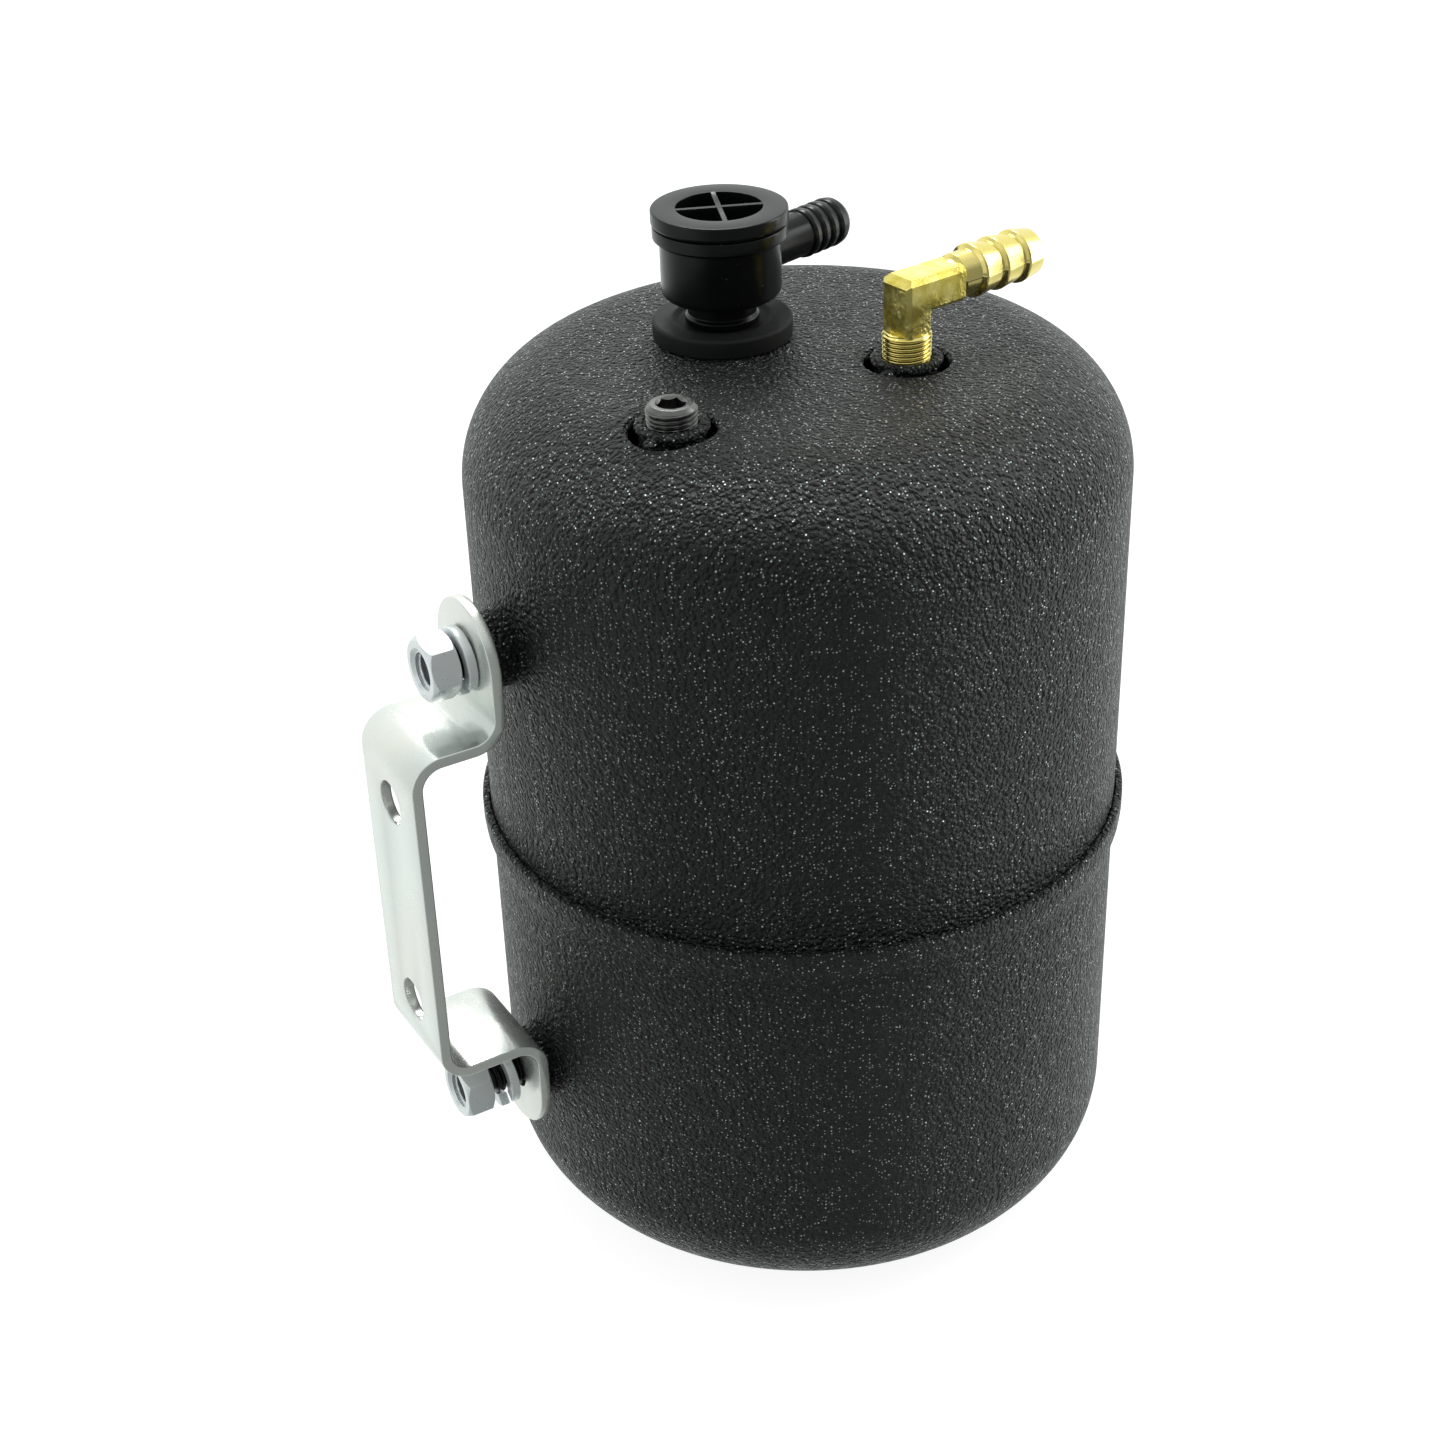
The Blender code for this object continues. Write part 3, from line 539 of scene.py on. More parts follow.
def upper_cup():
    """The upper cup: a triangulated top with its three holes, the round corner and the wall, all one sheet thick."""
    points, edges = [], []

    def loop(ring, constrained=False):
        first = len(points)
        points.extend(Vector(p) for p in ring)
        if constrained:
            edges.extend((first + i, first + (i + 1) % len(ring)) for i in range(len(ring)))

    loop(ring_points((0, 0), DOME_SPLIT, SHELL_SEGMENTS), True)
    loop(ring_points(VALVE, GROMMET_HOLE_R, 96), True)
    for centre, _ in PORTS:
        loop(ring_points(centre, HOLE_R, 144), True)
        for d in (0.12, 0.28, 0.46, 0.66, 0.9, 1.2, 1.4, 1.6, 1.8, 2.05, 2.4, 2.9):
            loop(ring_points(centre, HOLE_R + d * MM, 120 if d < 1.5 else 96))
    radius = DOME_SPLIT - 1.1 * MM
    while radius > 1 * MM:
        for p in ring_points((0, 0), radius, max(8, round(math.tau * radius / (1.5 * MM)))):
            clear = [math.dist(p, centre) > HOLE_R + 3.6 * MM for centre, _ in PORTS]
            if all(clear) and math.dist(p, VALVE) > GROMMET_HOLE_R + 0.8 * MM:
                points.append(Vector(p))
        radius -= 1.4 * MM
    spots, _, faces, _, _, _ = geometry.delaunay_2d_cdt(points, edges, [], 0, 1e-7)

    bm = bmesh.new()
    outer, inner = [], []

    def pair(x, y, z):
        """A vertex on the outside and its partner through the sheet."""
        outer.append(bm.verts.new((x, y, z - port_dip(x, y))))
        radius = math.hypot(x, y)
        flat, foot = RADIUS - TOP_CORNER, TOP - TOP_CORNER
        if radius <= flat:
            inner.append((x, y, z - SHEET))
        elif z > foot:
            shrink = (TOP_CORNER - SHEET) / TOP_CORNER
            r = flat + (radius - flat) * shrink
            inner.append((x * r / radius, y * r / radius, foot + (z - foot) * shrink))
        else:
            inner.append((x * (1 - SHEET / radius), y * (1 - SHEET / radius), z))
        return outer[-1]

    for spot in spots:
        pair(spot.x, spot.y, dome_height(spot.length))
    made = []
    holes = [(centre, HOLE_R) for centre, _ in PORTS] + [(VALVE, GROMMET_HOLE_R)]
    for face in faces:
        mid = sum((spots[i] for i in face), Vector((0, 0))) / len(face)
        if mid.length < DOME_SPLIT and all((mid - Vector(c)).length > r for c, r in holes):
            made.append(bm.faces.new([outer[i] for i in face]))
    start = math.acos((DOME_SPLIT - RADIUS + TOP_CORNER) / TOP_CORNER)
    wall = TOP - TOP_CORNER
    levels = arc(RADIUS - TOP_CORNER, wall, TOP_CORNER, math.degrees(start), 0, 26)[1:]
    levels += [(RADIUS, wall + (CUP_RIM - wall) * k / 12) for k in range(1, 13)]
    above = outer[:SHELL_SEGMENTS]
    for radius, z in levels:
        ring = [pair(x, y, z) for x, y in ring_points((0, 0), radius, SHELL_SEGMENTS)]
        for i in range(SHELL_SEGMENTS):
            j = (i + 1) % SHELL_SEGMENTS
            made.append(bm.faces.new((above[i], above[j], ring[j], ring[i])))
        above = ring
    partner = {v: bm.verts.new(co) for v, co in zip(outer, inner)}
    for face in made:
        bm.faces.new([partner[v] for v in reversed(face.verts)])
    for edge in [e for e in bm.edges if len(e.link_faces) == 1 and e.verts[0] in partner]:
        a, b = edge.verts
        bm.faces.new((a, b, partner[b], partner[a]))
    bmesh.ops.delete(bm, geom=[v for v in bm.verts if not v.link_faces], context="VERTS")
    return bm


def lower_cup():
    """The lower cup in section: rounded base, straight wall, and the belled lip around the upper cup."""
    corner = (RADIUS - BASE_CORNER, BASE_CORNER)
    step = CUP_RIM - 0.8 * MM
    outside = arc(*corner, BASE_CORNER, -90, 0, 24)
    wall = [(RADIUS, BASE_CORNER + (step - 5 * MM - BASE_CORNER) * k / 10) for k in range(1, 11)]
    bell = [(RADIUS, step - 4 * MM, 2 * MM), (RADIUS + 0.12 * MM, step - 2.2 * MM, 3 * MM),
            (LIP_R - 0.25 * MM, step + 1.8 * MM, 2.4 * MM), (LIP_R, step + 4.2 * MM, 2 * MM),
            (LIP_R, SEAM, 0.9 * MM), (RADIUS + 0.22 * MM, SEAM, 0.3 * MM),
            (RADIUS + 0.25 * MM, step, 0.3 * MM), (RADIUS - SHEET, step - 1.6 * MM, 1 * MM),
            (RADIUS - SHEET, step - 6 * MM, 0)]
    bell = fillets([(RADIUS, step - 6 * MM, 0), *bell], 5)[1:]
    inside = arc(*corner, BASE_CORNER - SHEET, 0, -90, 24)
    floor = [(r * MM, 0) for r in (0, 20, 40)]
    inner_floor = [(r * MM, SHEET) for r in (40, 20, 0)]
    return lathe([*floor, *outside, *wall, *bell, *inside, *inner_floor], SHELL_SEGMENTS)


def weld_bung(seed):
    """The bung's coated ring: a rough rounded rim around the thread, its wall going down into the sheet."""
    foot, top = rise("elbow_port_bung")
    bore, outer = 5.25, 7.45
    bm = turned([(bore, foot, 0.2), (outer, foot, 0.3), (outer - 0.9, -3.0, 0.5), (outer - 0.8, -1.2, 0.3),
                 (outer, top - 1.05, 0.4), (outer - 0.1, top - 0.45, 0.4), (6.75, top - 0.05, 0.5), (5.9, top, 0.4),
                 (bore, top - 0.35, 0.2)], 5, 144)
    bmesh.ops.subdivide_edges(bm, edges=[e for e in bm.edges if e.calc_length() > 1.5 * MM], cuts=3)

    def exposed(co):
        return co.z > -1.5 * MM and math.hypot(co.x, co.y) > 5.6 * MM

    roughen(bm, 0.22 * MM, 1.1 * MM, seed, exposed)
    roughen(bm, 0.10 * MM, 0.45 * MM, seed + 3, exposed)
    return bm


def weld_tab(azimuth, seed):
    """A lump of weld that bridges the gap between the bung and the sheet."""
    distance, reach = 8.1 * MM, 1.5 * MM
    bm = bmesh.new()
    bmesh.ops.create_icosphere(bm, subdivisions=5, radius=1.0)
    for v in bm.verts:
        x, y, z = v.co
        v.co = Vector((distance + x * reach, y * reach, -0.35 * MM + z * (0.75 - 0.25 * x) * MM))
    roughen(bm, 0.28 * MM, 1.0 * MM, seed)
    roughen(bm, 0.10 * MM, 0.4 * MM, seed + 1)
    bmesh.ops.rotate(bm, verts=bm.verts, matrix=Matrix.Rotation(azimuth, 3, "Z"), cent=(0, 0, 0))
    return bm


def build_canister():
    upper = piece("canister_upper_cup", upper_cup(), COAT)
    finished(upper, "canister", ["upper_shell"], 50)
    lower = piece("canister_lower_cup", lower_cup(), COAT)
    finished(lower, "canister", ["lower_shell"], 60)
    for number, (name, (centre, azimuth)) in enumerate(zip(("elbow", "plug"), PORTS)):
        spot = at(centre[0], centre[1], TOP)
        bung = piece(f"{name}_weld_bung", weld_bung(4.0 + 7 * number), COAT, spot)
        finished(bung, "canister", [f"{name}_port_bung"], 70)
        tab = piece(f"{name}_weld_tab", weld_tab(azimuth, 2.0 + number), COAT, spot)
        finished(tab, "canister", (), 80)


# Brass elbow

def chamfered(x, y, chamfer):
    """A rectangle from -x to x and -y to y with its corners cut off."""
    corners = [(x, -y + chamfer), (x, y - chamfer), (x - chamfer, y), (-x + chamfer, y),
               (-x, y - chamfer), (-x, -y + chamfer), (-x + chamfer, -y), (x - chamfer, -y)]
    return fillets([(a, b, 0.22 * MM) for a, b in corners], 3)


def capped(depth, width, chamfer, rounding):
    """A long outline whose end at -depth has its two corners cut off."""
    far, over = 20 * MM, width + 0.01 * MM
    return fillets([(-depth, -width + chamfer, rounding), (-depth + chamfer, -width, rounding), (far, -over, 0),
                    (far, over, 0), (-depth + chamfer, width, rounding), (-depth, width - chamfer, rounding)], 3)


def build_elbow():
    """The forged body, its turned thread and its turned hose barb."""
    base = high("elbow_port_bung").z
    axis_z = 14.7 * MM
    shoulder, tip = 12.0 * MM, 34.1 * MM
    origin = Vector((*ELBOW, TOP))
    turn = Matrix.Rotation(ELBOW_TURN, 4, "Z")
    level = at(*(origin + Vector((0, 0, axis_z))))

    foot = 6.1 * MM
    depth, width = 3.3 * MM, 4.25 * MM
    body = piece("elbow_forged_body", prism(chamfered(depth, width, 0.8 * MM), axis_z + depth - foot), FORGED,
                 at(*origin) @ turn @ at(0, 0, foot))
    # The level leg is deeper below the barb's axis than above it
    deeper = 1.0 * MM
    section = [(x + deeper / 2, y) for x, y in chamfered(depth + deeper / 2, width + 0.01 * MM, 1.1 * MM)]
    leg = prism(section, shoulder + depth)
    leg = piece("elbow_leg", leg, FORGED, level @ turn @ QUARTER_Y @ at(0, 0, -depth))
    # The back of the level leg has the upright leg's chamfers
    plan = prism(capped(depth, width, 0.8 * MM, 0.2 * MM), 20 * MM)
    combined(leg, plan, "INTERSECT", level @ turn @ at(0, 0, -10 * MM))
    # The top of the upright leg has the level leg's chamfers
    crown = prism(capped(depth, width, 1.1 * MM, 0.22 * MM), 20 * MM)
    combined(body, crown, "INTERSECT", level @ turn @ QUARTER_Y @ at(0, 0, -10 * MM))
    extra = bmesh.new()
    extra.from_mesh(leg.data)
    combined(body, extra, "UNION", leg.matrix_world)
    bpy.data.objects.remove(leg, do_unlink=True)
    bevel = prism([(0, 0), (3.4 * MM, 0), (0, 3.4 * MM)], 14 * MM)
    upright = QUARTER_X @ at(0, 0, -7 * MM)
    corner = at(-depth - 0.9 * MM, 0, depth + 0.9 * MM, QUARTER_Y)
    combined(body, bevel, "DIFFERENCE", level @ turn @ corner @ upright)
    # The inner corner is filled where the two legs meet
    web = prism([(0, 0), (1.0 * MM, 0), (0, 1.0 * MM)], 6.2 * MM)
    under = QUARTER_X @ Matrix.Rotation(math.pi, 4, "X") @ at(0, 0, -3.1 * MM)
    combined(body, web, "UNION", level @ turn @ at(depth - 0.05 * MM, 0, -depth - deeper + 0.05 * MM) @ under)
    softened(body, 0.5 * MM, 25, 4)
    bore = cylinder(3.0 * MM, 0, 30 * MM, 48)
    combined(body, bore, "DIFFERENCE", at(*origin) @ at(0, 0, 4 * MM) @ Matrix.Scale(0.36, 4, (0, 0, 1)))
    finished(body, "canister", ["brass_elbow_fitting"], 40)

    thread = threaded(PIPE_R, PIPE_PITCH, -7 * MM, 6.35 * MM, 0.55 * MM, 128, 12, taper=0.03)
    rod = piece("elbow_pipe_thread", thread, BRASS, at(*origin, turn))
    combined(rod, cylinder(3.0 * MM, -9 * MM, 9 * MM, 48), "DIFFERENCE", at(*origin))
    finished(rod, "canister", (), 80)

    ridges, crest, root = (16.6, 22.5, 28.5), 5.6, 4.8
    neck = shoulder / MM
    outline = [(3.0, neck - 1.5, 0), (3.2, neck - 1.5, 0), (3.6, neck - 0.4, 0), (4.55, neck + 0.3, 0.3),
               (4.62, ridges[0] - 0.35, 0.25)]
    for ridge, following in zip(ridges, (*ridges[1:], None)):
        outline += [(crest - 0.05, ridge + 0.05, 0.12), (crest, ridge + 0.55, 0.2)]
        if following:
            outline.append((root, following - 0.35, 0.25))
    outline += [(root + 0.1, tip / MM - 0.9, 0.4), (root - 0.75, tip / MM, 0.35), (3.35, tip / MM, 0.2),
                (3.0, tip / MM - 0.4, 0.1)]
    bm = turned(outline, 4, 160)
    # A faint parting line runs along both sides
    for v in bm.verts:
        r = math.hypot(v.co.x, v.co.y)
        if r > 3.6 * MM:
            away = math.degrees(abs(math.asin(max(-1.0, min(1.0, v.co.x / r)))))
            grow = 0.09 * MM * max(0.0, 1 - away / 2.6)
            v.co.x *= 1 + grow / r
            v.co.y *= 1 + grow / r
    barb = piece("elbow_barb", bm, BRASS, level @ turn @ QUARTER_Y)
    finished(barb, "canister", (), 32)


# Pipe plug

def build_plug():
    """A threaded plug with a chamfered rim and a blind hexagon socket."""
    foot, top = rise("pipe_plug")
    bm = threaded(PIPE_R, PIPE_PITCH, foot * MM, (top - 0.55) * MM, 0.4 * MM, 128, 12, taper=0.02)
    place = at(PLUG.x, PLUG.y, TOP)
    plug = piece("socket_plug", bm, PLUG_STEEL, place)
    head = [(0, top - 1.6, 0), (4.85, top - 1.6, 0.1), (4.95, top - 0.75, 0.15), (4.15, top, 0.25), (0, top, 0)]
    combined(plug, turned(head, 4, 128), "UNION", place)
    mouth = [(0, top - 0.55, 0), (2.55, top - 0.55, 0), (3.25, top + 0.1, 0), (0, top + 0.1, 0)]
    combined(plug, turned(mouth, 2, 96), "DIFFERENCE", place)
    flats, socket_depth = 5.2 * MM, 4.8
    hexagon = ring_points((0, 0), flats / 2 / math.cos(math.pi / 6), 6, math.radians(39))
    combined(plug, prism(hexagon, 10 * MM, (top - socket_depth) * MM), "DIFFERENCE", place)
    finished(plug, "canister", ["pipe_plug"], 30)


# Check valve

def build_grommet():
    """A rubber ring with a flange above the dome, a groove for the sheet and a bead below it."""
    hole = 10.0
    foot, top = rise("valve_grommet")
    rim = (high("valve_grommet").x - low("valve_grommet").x) / 2 / MM
    outline = [(6.9, foot, 0.2), (12.5, foot, 0.7), (12.5, -1.8, 0.4), (hole, -1.8, 0.3), (hole, 0.25, 0.2),
               (rim - 0.1, 0.1, 0.5), (rim, top - 0.15, 0.75), (10.4, top - 0.05, 0.9), (9.4, 3.55, 0.8),
               (8.35, 3.3, 0.3), (6.9, 3.3, 0.1)]
    bm = turned(outline, 6, 160)
    roughen(bm, 0.05 * MM, 6 * MM, 5.0, lambda co: co.z > 0)
    grommet = piece("rubber_grommet", bm, RUBBER, at(VALVE.x, VALVE.y, TOP))
    finished(grommet, "canister", ["valve_grommet"], 60)


def build_valve():
    """The moulded housing with its hose barb, and the vented lid."""
    place = at(VALVE.x, VALVE.y, TOP)
    flange_top = rise("check_valve_body")[1]
    lid_top = rise("check_valve_cap")[1]
    outline = [(3.5, -10, 0.2), (6.1, -10, 0.5), (7.6, -6.2, 0.4), (7.6, -5.4, 0.15), (6.5, -5.4, 0.1), (6.5, 3.5, 0),
               (7.75, 3.7, 0.25), (7.75, 4.9, 0.35), (7.15, 5.5, 0.3), (7.15, 9.15, 0.5), (12.5, 9.15, 1.7),
               (12.5, 21.25, 0.3), (13.35, 21.35, 0.15), (13.9, 21.9, 0.2), (13.9, flange_top, 0.22),
               (11.7, flange_top, 0.1), (11.7, flange_top - 1.6, 0.1), (10.3, flange_top - 1.6, 0.1),
               (10.3, 11.4, 0.5), (5.4, 11.4, 0.3), (5.0, 12.2, 0.2), (4.2, 12.2, 0.2), (3.5, 11.5, 0.2)]
    body = piece("valve_housing", turned(outline, 5, 160), PLASTIC, place)

    # The hose barb's shank and four rounded ridges, each steep on the side towards the body
    shank, crest, tip = 4.75, 5.3, 36.0
    teeth = [(0, 11.0, 0), (shank, 11.0, 0), (shank, 23.55, 0.15)]
    starts = (23.8, 26.5, 29.2, 32.0)
    for start, following in zip(starts, (*starts[1:], None)):
        teeth += [(crest - 0.12, start + 0.05, 0.25), (crest, start + 0.9, 0.8)]
        if following:
            teeth += [(crest - 0.25, following - 0.65, 0.5), (shank + 0.02, following - 0.3, 0.18)]
    teeth += [(5.05, tip - 1.5, 1.0), (4.15, tip - 0.15, 0.7), (3.2, tip, 0.3), (0, tip, 0)]
    axis_z = 15.2 * MM
    side = place @ at(0, 0, axis_z, lying(BARB_TURN))
    combined(body, turned(teeth, 5, 128), "UNION", side)
    combined(body, cylinder(2.8 * MM, 9.5 * MM, 40 * MM, 64), "DIFFERENCE", side)
    # Mould marks: a gate at the flange and two small pins' marks low on the body
    for azimuth, radius, z, size in ((-119, 13.9, 24.4, 0.2), (-166, 12.0, 10.1, 0.28), (-160, 12.1, 10.35, 0.2)):
        bm = bmesh.new()
        bmesh.ops.create_icosphere(bm, subdivisions=3, radius=size * MM)
        roughen(bm, 0.1 * MM, 0.3 * MM, azimuth)
        angle = math.radians(azimuth)
        combined(body, bm, "UNION", place @ at(radius * math.cos(angle) * MM, radius * math.sin(angle) * MM, z * MM))
    finished(body, "valve", ["check_valve_body"], 32)

    lid = [(0, 22.0, 0), (9.9, 22.0, 0.2), (9.9, flange_top + 0.22, 0), (13.75, flange_top + 0.22, 0.05),
           (14.05, flange_top + 0.5, 0.2), (14.15, flange_top + 0.9, 0.3), (14.1, lid_top, 0.35),
           (8.95, lid_top, 0.12), (8.8, 23.4, 0.3), (0, 23.4, 0)]
    cap = piece("valve_lid", turned(lid, 5, 160), PLASTIC, place)
    rib_top = (lid_top - 0.02) * MM
    for number in range(2):
        section = fillets([(-0.62 * MM, 22.6 * MM, 0), (0.62 * MM, 22.6 * MM, 0),
                           (0.52 * MM, rib_top, 0.1 * MM), (-0.52 * MM, rib_top, 0.1 * MM)], 3)
        rib = prism(section, 18.4 * MM, -9.2 * MM)
        heading = Matrix.Rotation(math.radians(67.5) + number * math.pi / 2, 4, "Z")
        combined(cap, rib, "UNION", place @ heading @ QUARTER_X)
    finished(cap, "valve", ["check_valve_cap"], 32)


def build_valve_insides():
    """The seal ring, poppet, its soft seat and the spring, in the places of their CAD nodes."""
    place = at(VALVE.x, VALVE.y, 0)
    ring_low, ring_high = low("cap_seal_ring"), high("cap_seal_ring")
    mid_z, wire = (ring_low.z + ring_high.z) / 2, (ring_high.z - ring_low.z) / 2
    middle_r = (ring_high.x - ring_low.x) / 2 - wire
    ring = lathe(ring_points((middle_r, mid_z), wire, 24), 120)
    finished(piece("lid_seal_ring", ring, SEAL, place), "valve", ["cap_seal_ring"])

    seal_low, seal_high = low("poppet_seal"), high("poppet_seal")
    outer = (seal_high.x - seal_low.x) / 2
    section = [(1.9 * MM, seal_low.z, 0.1 * MM), (outer, seal_low.z, 0.3 * MM), (outer, seal_high.z, 0.3 * MM),
               (1.9 * MM, seal_high.z, 0.1 * MM)]
    seal = piece("poppet_soft_seat", lathe(fillets(section, 4), 96), SEAL, place)
    finished(seal, "poppet", ["poppet_seal"])

    poppet_low, poppet_high = low("valve_poppet").z, high("valve_poppet").z
    disc_r = (high("valve_poppet").x - low("valve_poppet").x) / 2
    disc = poppet_low + 3.6 * MM
    section = [(0, poppet_low, 0), (1.1 * MM, poppet_low, 0.2 * MM), (1.55 * MM, poppet_low + 0.6 * MM, 0.2 * MM),
               (1.55 * MM, disc, 0.1 * MM), (disc_r, disc, 0.25 * MM), (disc_r, disc + 1.1 * MM, 0.3 * MM),
               (2.6 * MM, disc + 1.4 * MM, 0.3 * MM), (2.2 * MM, poppet_high, 0.3 * MM), (0, poppet_high, 0)]
    poppet = piece("poppet_disc", lathe(fillets(section, 4), 96), PLASTIC, place)
    finished(poppet, "poppet", ["valve_poppet"])

    wire_r = 0.3 * MM
    bottom, top = low("valve_spring").z + wire_r, high("valve_spring").z - wire_r
    steps, coils, radius = 240, 4.0, 3.4 * MM
    path = []
    for k in range(steps + 1):
        a = math.tau * coils * k / steps
        out = Vector((math.cos(a), math.sin(a), 0))
        path.append((out * radius + Vector((0, 0, bottom + (top - bottom) * k / steps)), out, Vector((0, 0, 1))))
    spring = piece("poppet_spring", swept(ring_points((0, 0), wire_r, 12), path), SPRING_STEEL, place)
    finished(spring, "valve", ["valve_spring"])
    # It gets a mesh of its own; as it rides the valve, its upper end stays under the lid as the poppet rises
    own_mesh(spring)


# Strap bracket

def strap_section():
    """The strap's bent outline as (u, height above the seam), with true bend arcs."""
    bend, step = 4.6 * MM, 39.9 * MM
    plate, mid_step = PLATE_FACE - STRAP_T / 2, step - STRAP_T / 2
    end = STRAP[1].z - SEAM + 1 * MM
    mid_r = bend + STRAP_T / 2

    def side(name, offset):
        tab = TAB[name] + STRAP_T / 2
        top = arc(tab + mid_r, mid_step + mid_r, mid_r - offset, 180, 270, 14)
        bottom = arc(plate - mid_r, mid_step - mid_r, mid_r + offset, 90, 0, 14)
        return [(tab + offset, end), *top, *bottom]

    out, inner = side("upper", STRAP_T / 2), side("upper", -STRAP_T / 2)
    lower_out = [(u, -z) for u, z in reversed(side("lower", STRAP_T / 2))]
    lower_in = [(u, -z) for u, z in side("lower", -STRAP_T / 2)]
    return out + lower_out + lower_in + list(reversed(inner))


def build_bracket():
    """The strap: a bent section pushed to its width, its ends rounded and its four holes drilled."""
    width = STRAP[1].y - STRAP[0].y
    half_span = (STRAP[1].z - STRAP[0].z) / 2 - width / 2
    outline = [(-u, SEAM + z) for u, z in strap_section()]
    upright = at(0, width / 2, 0, QUARTER_X)
    bracket = piece("strap_bracket", prism(outline, width), ZINC, upright)
    stadium = arc(half_span, 0, width / 2 + 0.005 * MM, 90, -90, 40)
    stadium += [(-x, -y) for x, y in stadium]
    combined(bracket, prism(stadium, 60 * MM), "INTERSECT", at(-60 * MM, 0, SEAM, OUTWARD))
    for offset, radius in ((25 * MM, 4.75 * MM), (half_span, 4.6 * MM)):
        for side in (1, -1):
            drill = cylinder(radius, 60 * MM, 110 * MM, 96)
            combined(bracket, drill, "DIFFERENCE", at(0, 0, SEAM + side * offset, OUTWARD))
    softened(bracket, 0.34 * MM, 40, 3)
    finished(bracket, "canister", ["mounting_bracket"], 35)


# Studs, nuts and lock washers

def hex_nut(turn, thickness):
    """A hexagonal blank, and the turned shape that gives its corners their chamfers."""
    flats = 12.7 * MM
    corner = flats / 2 / math.cos(math.pi / 6)
    bm = prism(fillets([(x, y, 0.25 * MM) for x, y in ring_points((0, 0), corner, 6, turn)], 3), thickness)
    face, rise = flats / 2 - 0.15 * MM, 0.85 * MM
    blank = [(0, 0, 0), (face, 0, 0.2 * MM), (corner + 0.3 * MM, rise + 0.25 * MM, 0),
             (corner + 0.3 * MM, thickness - rise - 0.25 * MM, 0), (face, thickness, 0.2 * MM), (0, thickness, 0)]
    return bm, lathe(fillets(blank, 3), 160)


def lock_washer(bore, outer, thickness, rise, gap, start):
    """A spring washer: one turn of square wire that climbs from its tab side to its nut side."""
    steps = 120
    mid_r, half = (bore + outer) / 2, (outer - bore) / 2
    section = fillets([(-half, -thickness / 2, 0.22 * MM), (half, -thickness / 2, 0.3 * MM),
                       (half, thickness / 2, 0.3 * MM), (-half, thickness / 2, 0.22 * MM)], 3)
    path = []
    for k in range(steps + 1):
        share = k / steps
        a = start + (math.tau - gap) * share
        out = Vector((math.cos(a), math.sin(a), 0))
        path.append((out * mid_r + Vector((0, 0, thickness / 2 + rise * share)), out, Vector((0, 0, 1))))
    return swept(section, path)


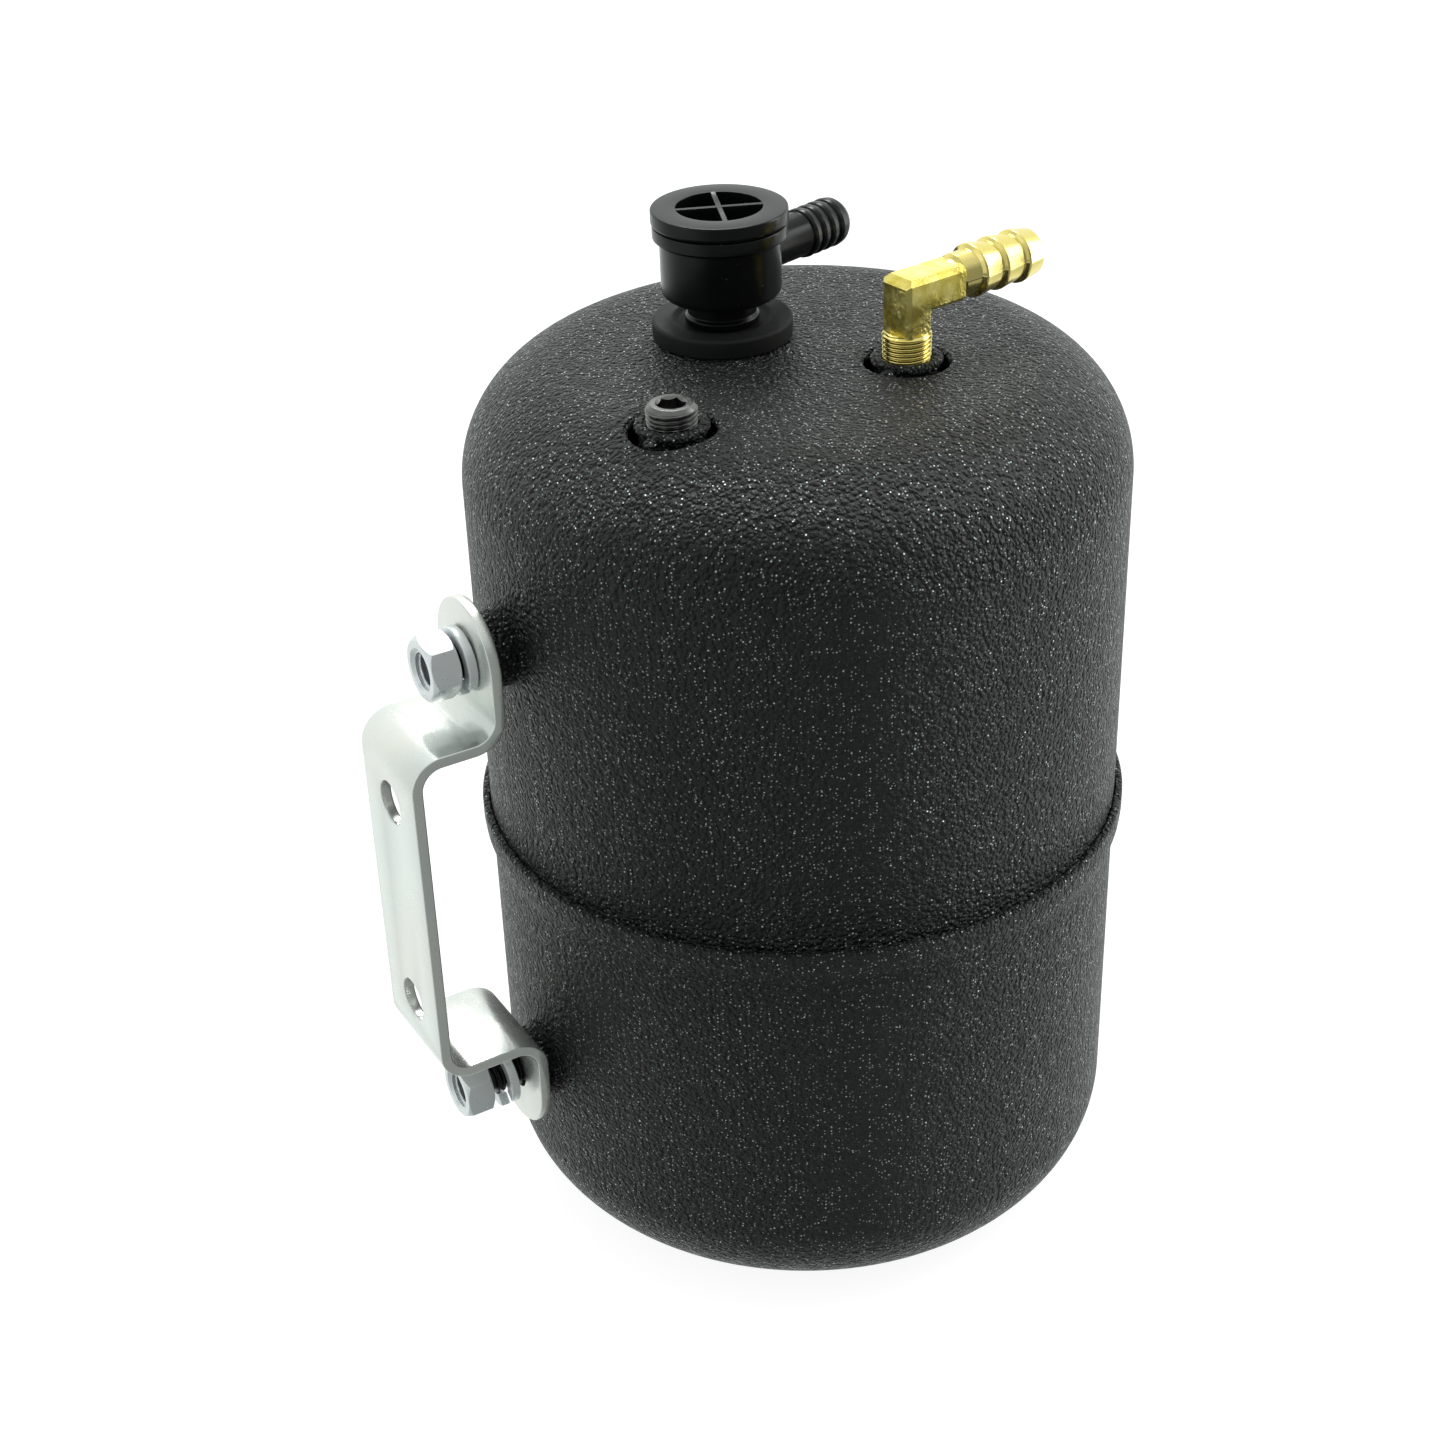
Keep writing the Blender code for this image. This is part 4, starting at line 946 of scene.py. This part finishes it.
def build_stud_set(name, washer_start, washer_u, washer_rise):
    """A welded boss, its stud, and the lock washer and nut on it."""
    z = STUD_Z[name]
    level = at(0, 0, z, OUTWARD)
    boss_end = -low(f"{name}_stud_boss").x
    radius = high(f"{name}_stud_boss").z - z
    section = [(0, 60 * MM, 0), (radius, 60 * MM, 0), (radius, boss_end, 0.5 * MM), (4.4 * MM, boss_end, 0.3 * MM),
               (4.4 * MM, boss_end - 3 * MM, 0), (0, boss_end - 3 * MM, 0)]
    boss = piece(f"{name}_boss", lathe(fillets(section, 4), 96), COAT, level)
    # A weld bead where the boss meets the wall
    path = []
    for a in [math.tau * k / 96 for k in range(96)]:
        c, s = math.cos(a), math.sin(a)
        y = s * radius
        wall = math.sqrt(RADIUS ** 2 - y ** 2)
        lump = 0.25 * MM * noise.noise(Vector((c * 3, s * 3, z * 50)))
        origin = Vector((c * (radius - 0.4 * MM), s * (radius - 0.4 * MM), wall - 0.3 * MM))
        path.append((origin, Vector((c, s, 0)) * (1 + lump / MM), Vector((0, 0, 1)) * (1 + lump / MM)))
    bead = [(-0.5 * MM, -1.2 * MM), (1.3 * MM, -1.2 * MM), (1.2 * MM, 0.05 * MM), (0.85 * MM, 0.5 * MM),
            (0.55 * MM, 0.85 * MM), (0.35 * MM, 1.2 * MM), (0.1 * MM, 1.5 * MM), (-0.5 * MM, 1.4 * MM)]
    weld = piece(f"{name}_boss_weld", swept(bead, path, closed=True), COAT, level)
    finished(weld, "canister", (), 70)
    combined(boss, cylinder(RADIUS + 0.05 * MM, -20 * MM, 20 * MM, 360), "DIFFERENCE", at(0, 0, z))
    finished(boss, "canister", [f"{name}_stud_boss"], 40)

    end, start = -low(f"{name}_stud").x, -high(f"{name}_stud").x
    stud = piece(f"{name}_threaded_stud", threaded(3.95 * MM, THREAD_PITCH, start, end, 0.9 * MM, 96, 14),
                 BLACK_STEEL, level)
    finished(stud, "canister", [f"{name}_stud"], 80)

    nut_low, nut_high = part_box(f"{name}_hex_nut")
    nut_back, thickness = -nut_high.x, nut_high.x - nut_low.x
    turn = math.radians(18 if name == "upper" else 3)
    blank, cone = hex_nut(turn, thickness)
    seat = at(-nut_back, 0, z, OUTWARD)
    nut = piece(f"{name}_nut", blank, BLUE_ZINC, seat)
    combined(nut, cone, "INTERSECT", seat)
    softened(nut, 0.10 * MM, 18, 2)
    bore = threaded(4.42 * MM, THREAD_PITCH, -2 * MM, thickness + 2 * MM, 0.1 * MM, 96, 12)
    combined(nut, bore, "DIFFERENCE", seat)
    mouth = 4.75 * MM
    for z_end, back in ((thickness, 1), (0, -1)):
        cone = lathe([(0, z_end - back * 0.8 * MM), (mouth - 0.8 * MM, z_end - back * 0.8 * MM),
                      (mouth + 0.2 * MM, z_end + back * 0.2 * MM), (0, z_end + back * 0.2 * MM)][::back], 96)
        combined(nut, cone, "DIFFERENCE", seat)
    finished(nut, "canister", [f"{name}_hex_nut"], 28)

    washer = lock_washer(4.35 * MM, 7.1 * MM, 2.0 * MM, washer_rise, 1.4 * MM / (5.7 * MM), washer_start)
    washer = piece(f"{name}_spring_washer", washer, BLUE_ZINC, at(-washer_u, 0, z, OUTWARD))
    finished(washer, "canister", [f"{name}_lock_washer"], 40)


# Floor, light and camera

# The studio's brightness towards three sides: from and to as cosines, then the brightness at each
BACK = (-0.35, 0.55, 0.30, 1.12)
OVERHEAD = (0.30, 0.95, 0.30, 0.85)
LEFT = (0.40, 0.90, 0.30, 0.80)
WHITE = (1, 1, 1, 1)
SEEN_WHITE = 1.25  # the brightness that the camera sees in the floor and the background
FLOOR_GLOW = 0.72  # the share of the floor's look that is plain white
FLOOR_Z = -0.6 * MM


def build_stage():
    """A white floor that the camera sees as evenly lit, in a studio that is bright behind and dark in front."""
    bm = bmesh.new()
    bmesh.ops.create_grid(bm, x_segments=1, y_segments=1, size=6.0)
    floor = temporary(bm, at(0, 0, FLOOR_Z))
    floor.name = "floor"
    n = Nodes("floor")
    n.set(Base_Color=n.mix(n.noise(3, 2.0), (0.90, 0.90, 0.90, 1), (0.92, 0.92, 0.92, 1)), Roughness=0.9,
          Specular_IOR_Level=0.0)
    white = n.node("Emission", Color=WHITE, Strength=SEEN_WHITE)
    shown = n.choice(FLOOR_GLOW, n.shader, white)
    n.link(n.choice(n.seen(), n.node("BsdfTransparent"), shown).outputs[0],
           n.tree.nodes["Material Output"].inputs["Surface"])
    floor.data.materials.append(n.owner)

    n = Nodes("studio", world=True)
    toward = n.coords.node.outputs["Generated"]
    back = n.ramp(n.dot(toward, (0.5, 0.866, 0.0)), *BACK)
    top = n.ramp(n.dot(toward, (0.0, 0.0, 1.0)), *OVERHEAD)
    left = n.ramp(n.dot(toward, (-0.94, 0.34, -0.1)), *LEFT)
    n.set(Strength=n.math("MAXIMUM", n.math("MAXIMUM", back, left), top), Color=(0.95, 1.0, 0.975, 1))
    white = n.node("Background", Color=WHITE, Strength=SEEN_WHITE)
    n.link(n.choice(n.seen(), n.shader, white).outputs[0], n.tree.nodes["World Output"].inputs["Surface"])
    bpy.context.scene.world = n.owner
    bpy.context.scene.view_settings.view_transform = "Standard"


def add_light(name, location, target, size, power, size_y=None):
    """A rectangular softbox that faces its target: metres and watts."""
    data = bpy.data.lights.new(name, "AREA")
    data.shape = "RECTANGLE"
    data.size, data.size_y = size, size_y or size
    data.energy = power
    light = bpy.data.objects.new(name, data)
    bpy.context.scene.collection.objects.link(light)
    light.location = location
    light.rotation_mode = "QUATERNION"
    light.rotation_quaternion = (Vector(target) - Vector(location)).to_track_quat("-Z", "Y")


def build_lights():
    """A strong light high behind, a faint one at the left and a tall one at the right."""
    centre = (0, 0, 0.14)
    add_light("back_softbox", (0.35, 0.75, 1.30), centre, 0.55, 11)
    add_light("left_softbox", (-0.95, 0.10, 0.45), centre, 0.5, 0.5, size_y=0.9)
    add_light("right_softbox", (0.85, -0.25, 0.40), centre, 0.35, 4.0, size_y=0.9)


def build_camera():
    """At the photograph's angle: 30 degrees round from the front, 31 above, with a slight roll."""
    data = bpy.data.cameras.new("camera")
    data.sensor_width = 36.0
    data.lens = 61.03
    data.clip_start, data.clip_end = 0.01, 50
    camera = bpy.data.objects.new("camera", data)
    bpy.context.scene.collection.objects.link(camera)
    heading, dip, roll = math.radians(60.36), math.radians(30.87), math.radians(1.97)
    forward = Vector((math.cos(heading) * math.cos(dip), math.sin(heading) * math.cos(dip), -math.sin(dip)))
    right = Vector((math.sin(heading), -math.cos(heading), 0))
    up = right.cross(forward)
    x = right * math.cos(roll) - up * math.sin(roll)
    y = right * math.sin(roll) + up * math.cos(roll)
    turn = Matrix((x, y, -forward)).transposed().to_4x4()
    camera.matrix_world = Matrix.Translation((-0.2473, -0.3995, 0.3932)) @ turn
    bpy.context.scene.camera = camera


build_canister()
build_elbow()
build_plug()
build_grommet()
build_valve()
build_valve_insides()
build_bracket()
build_stud_set("upper", math.radians(-128), TAB["upper"] + STRAP_T + 0.05 * MM, 1.1 * MM)
build_stud_set("lower", math.radians(-128), 78.3 * MM, 1.9 * MM)
build_stage()
build_lights()
build_camera()
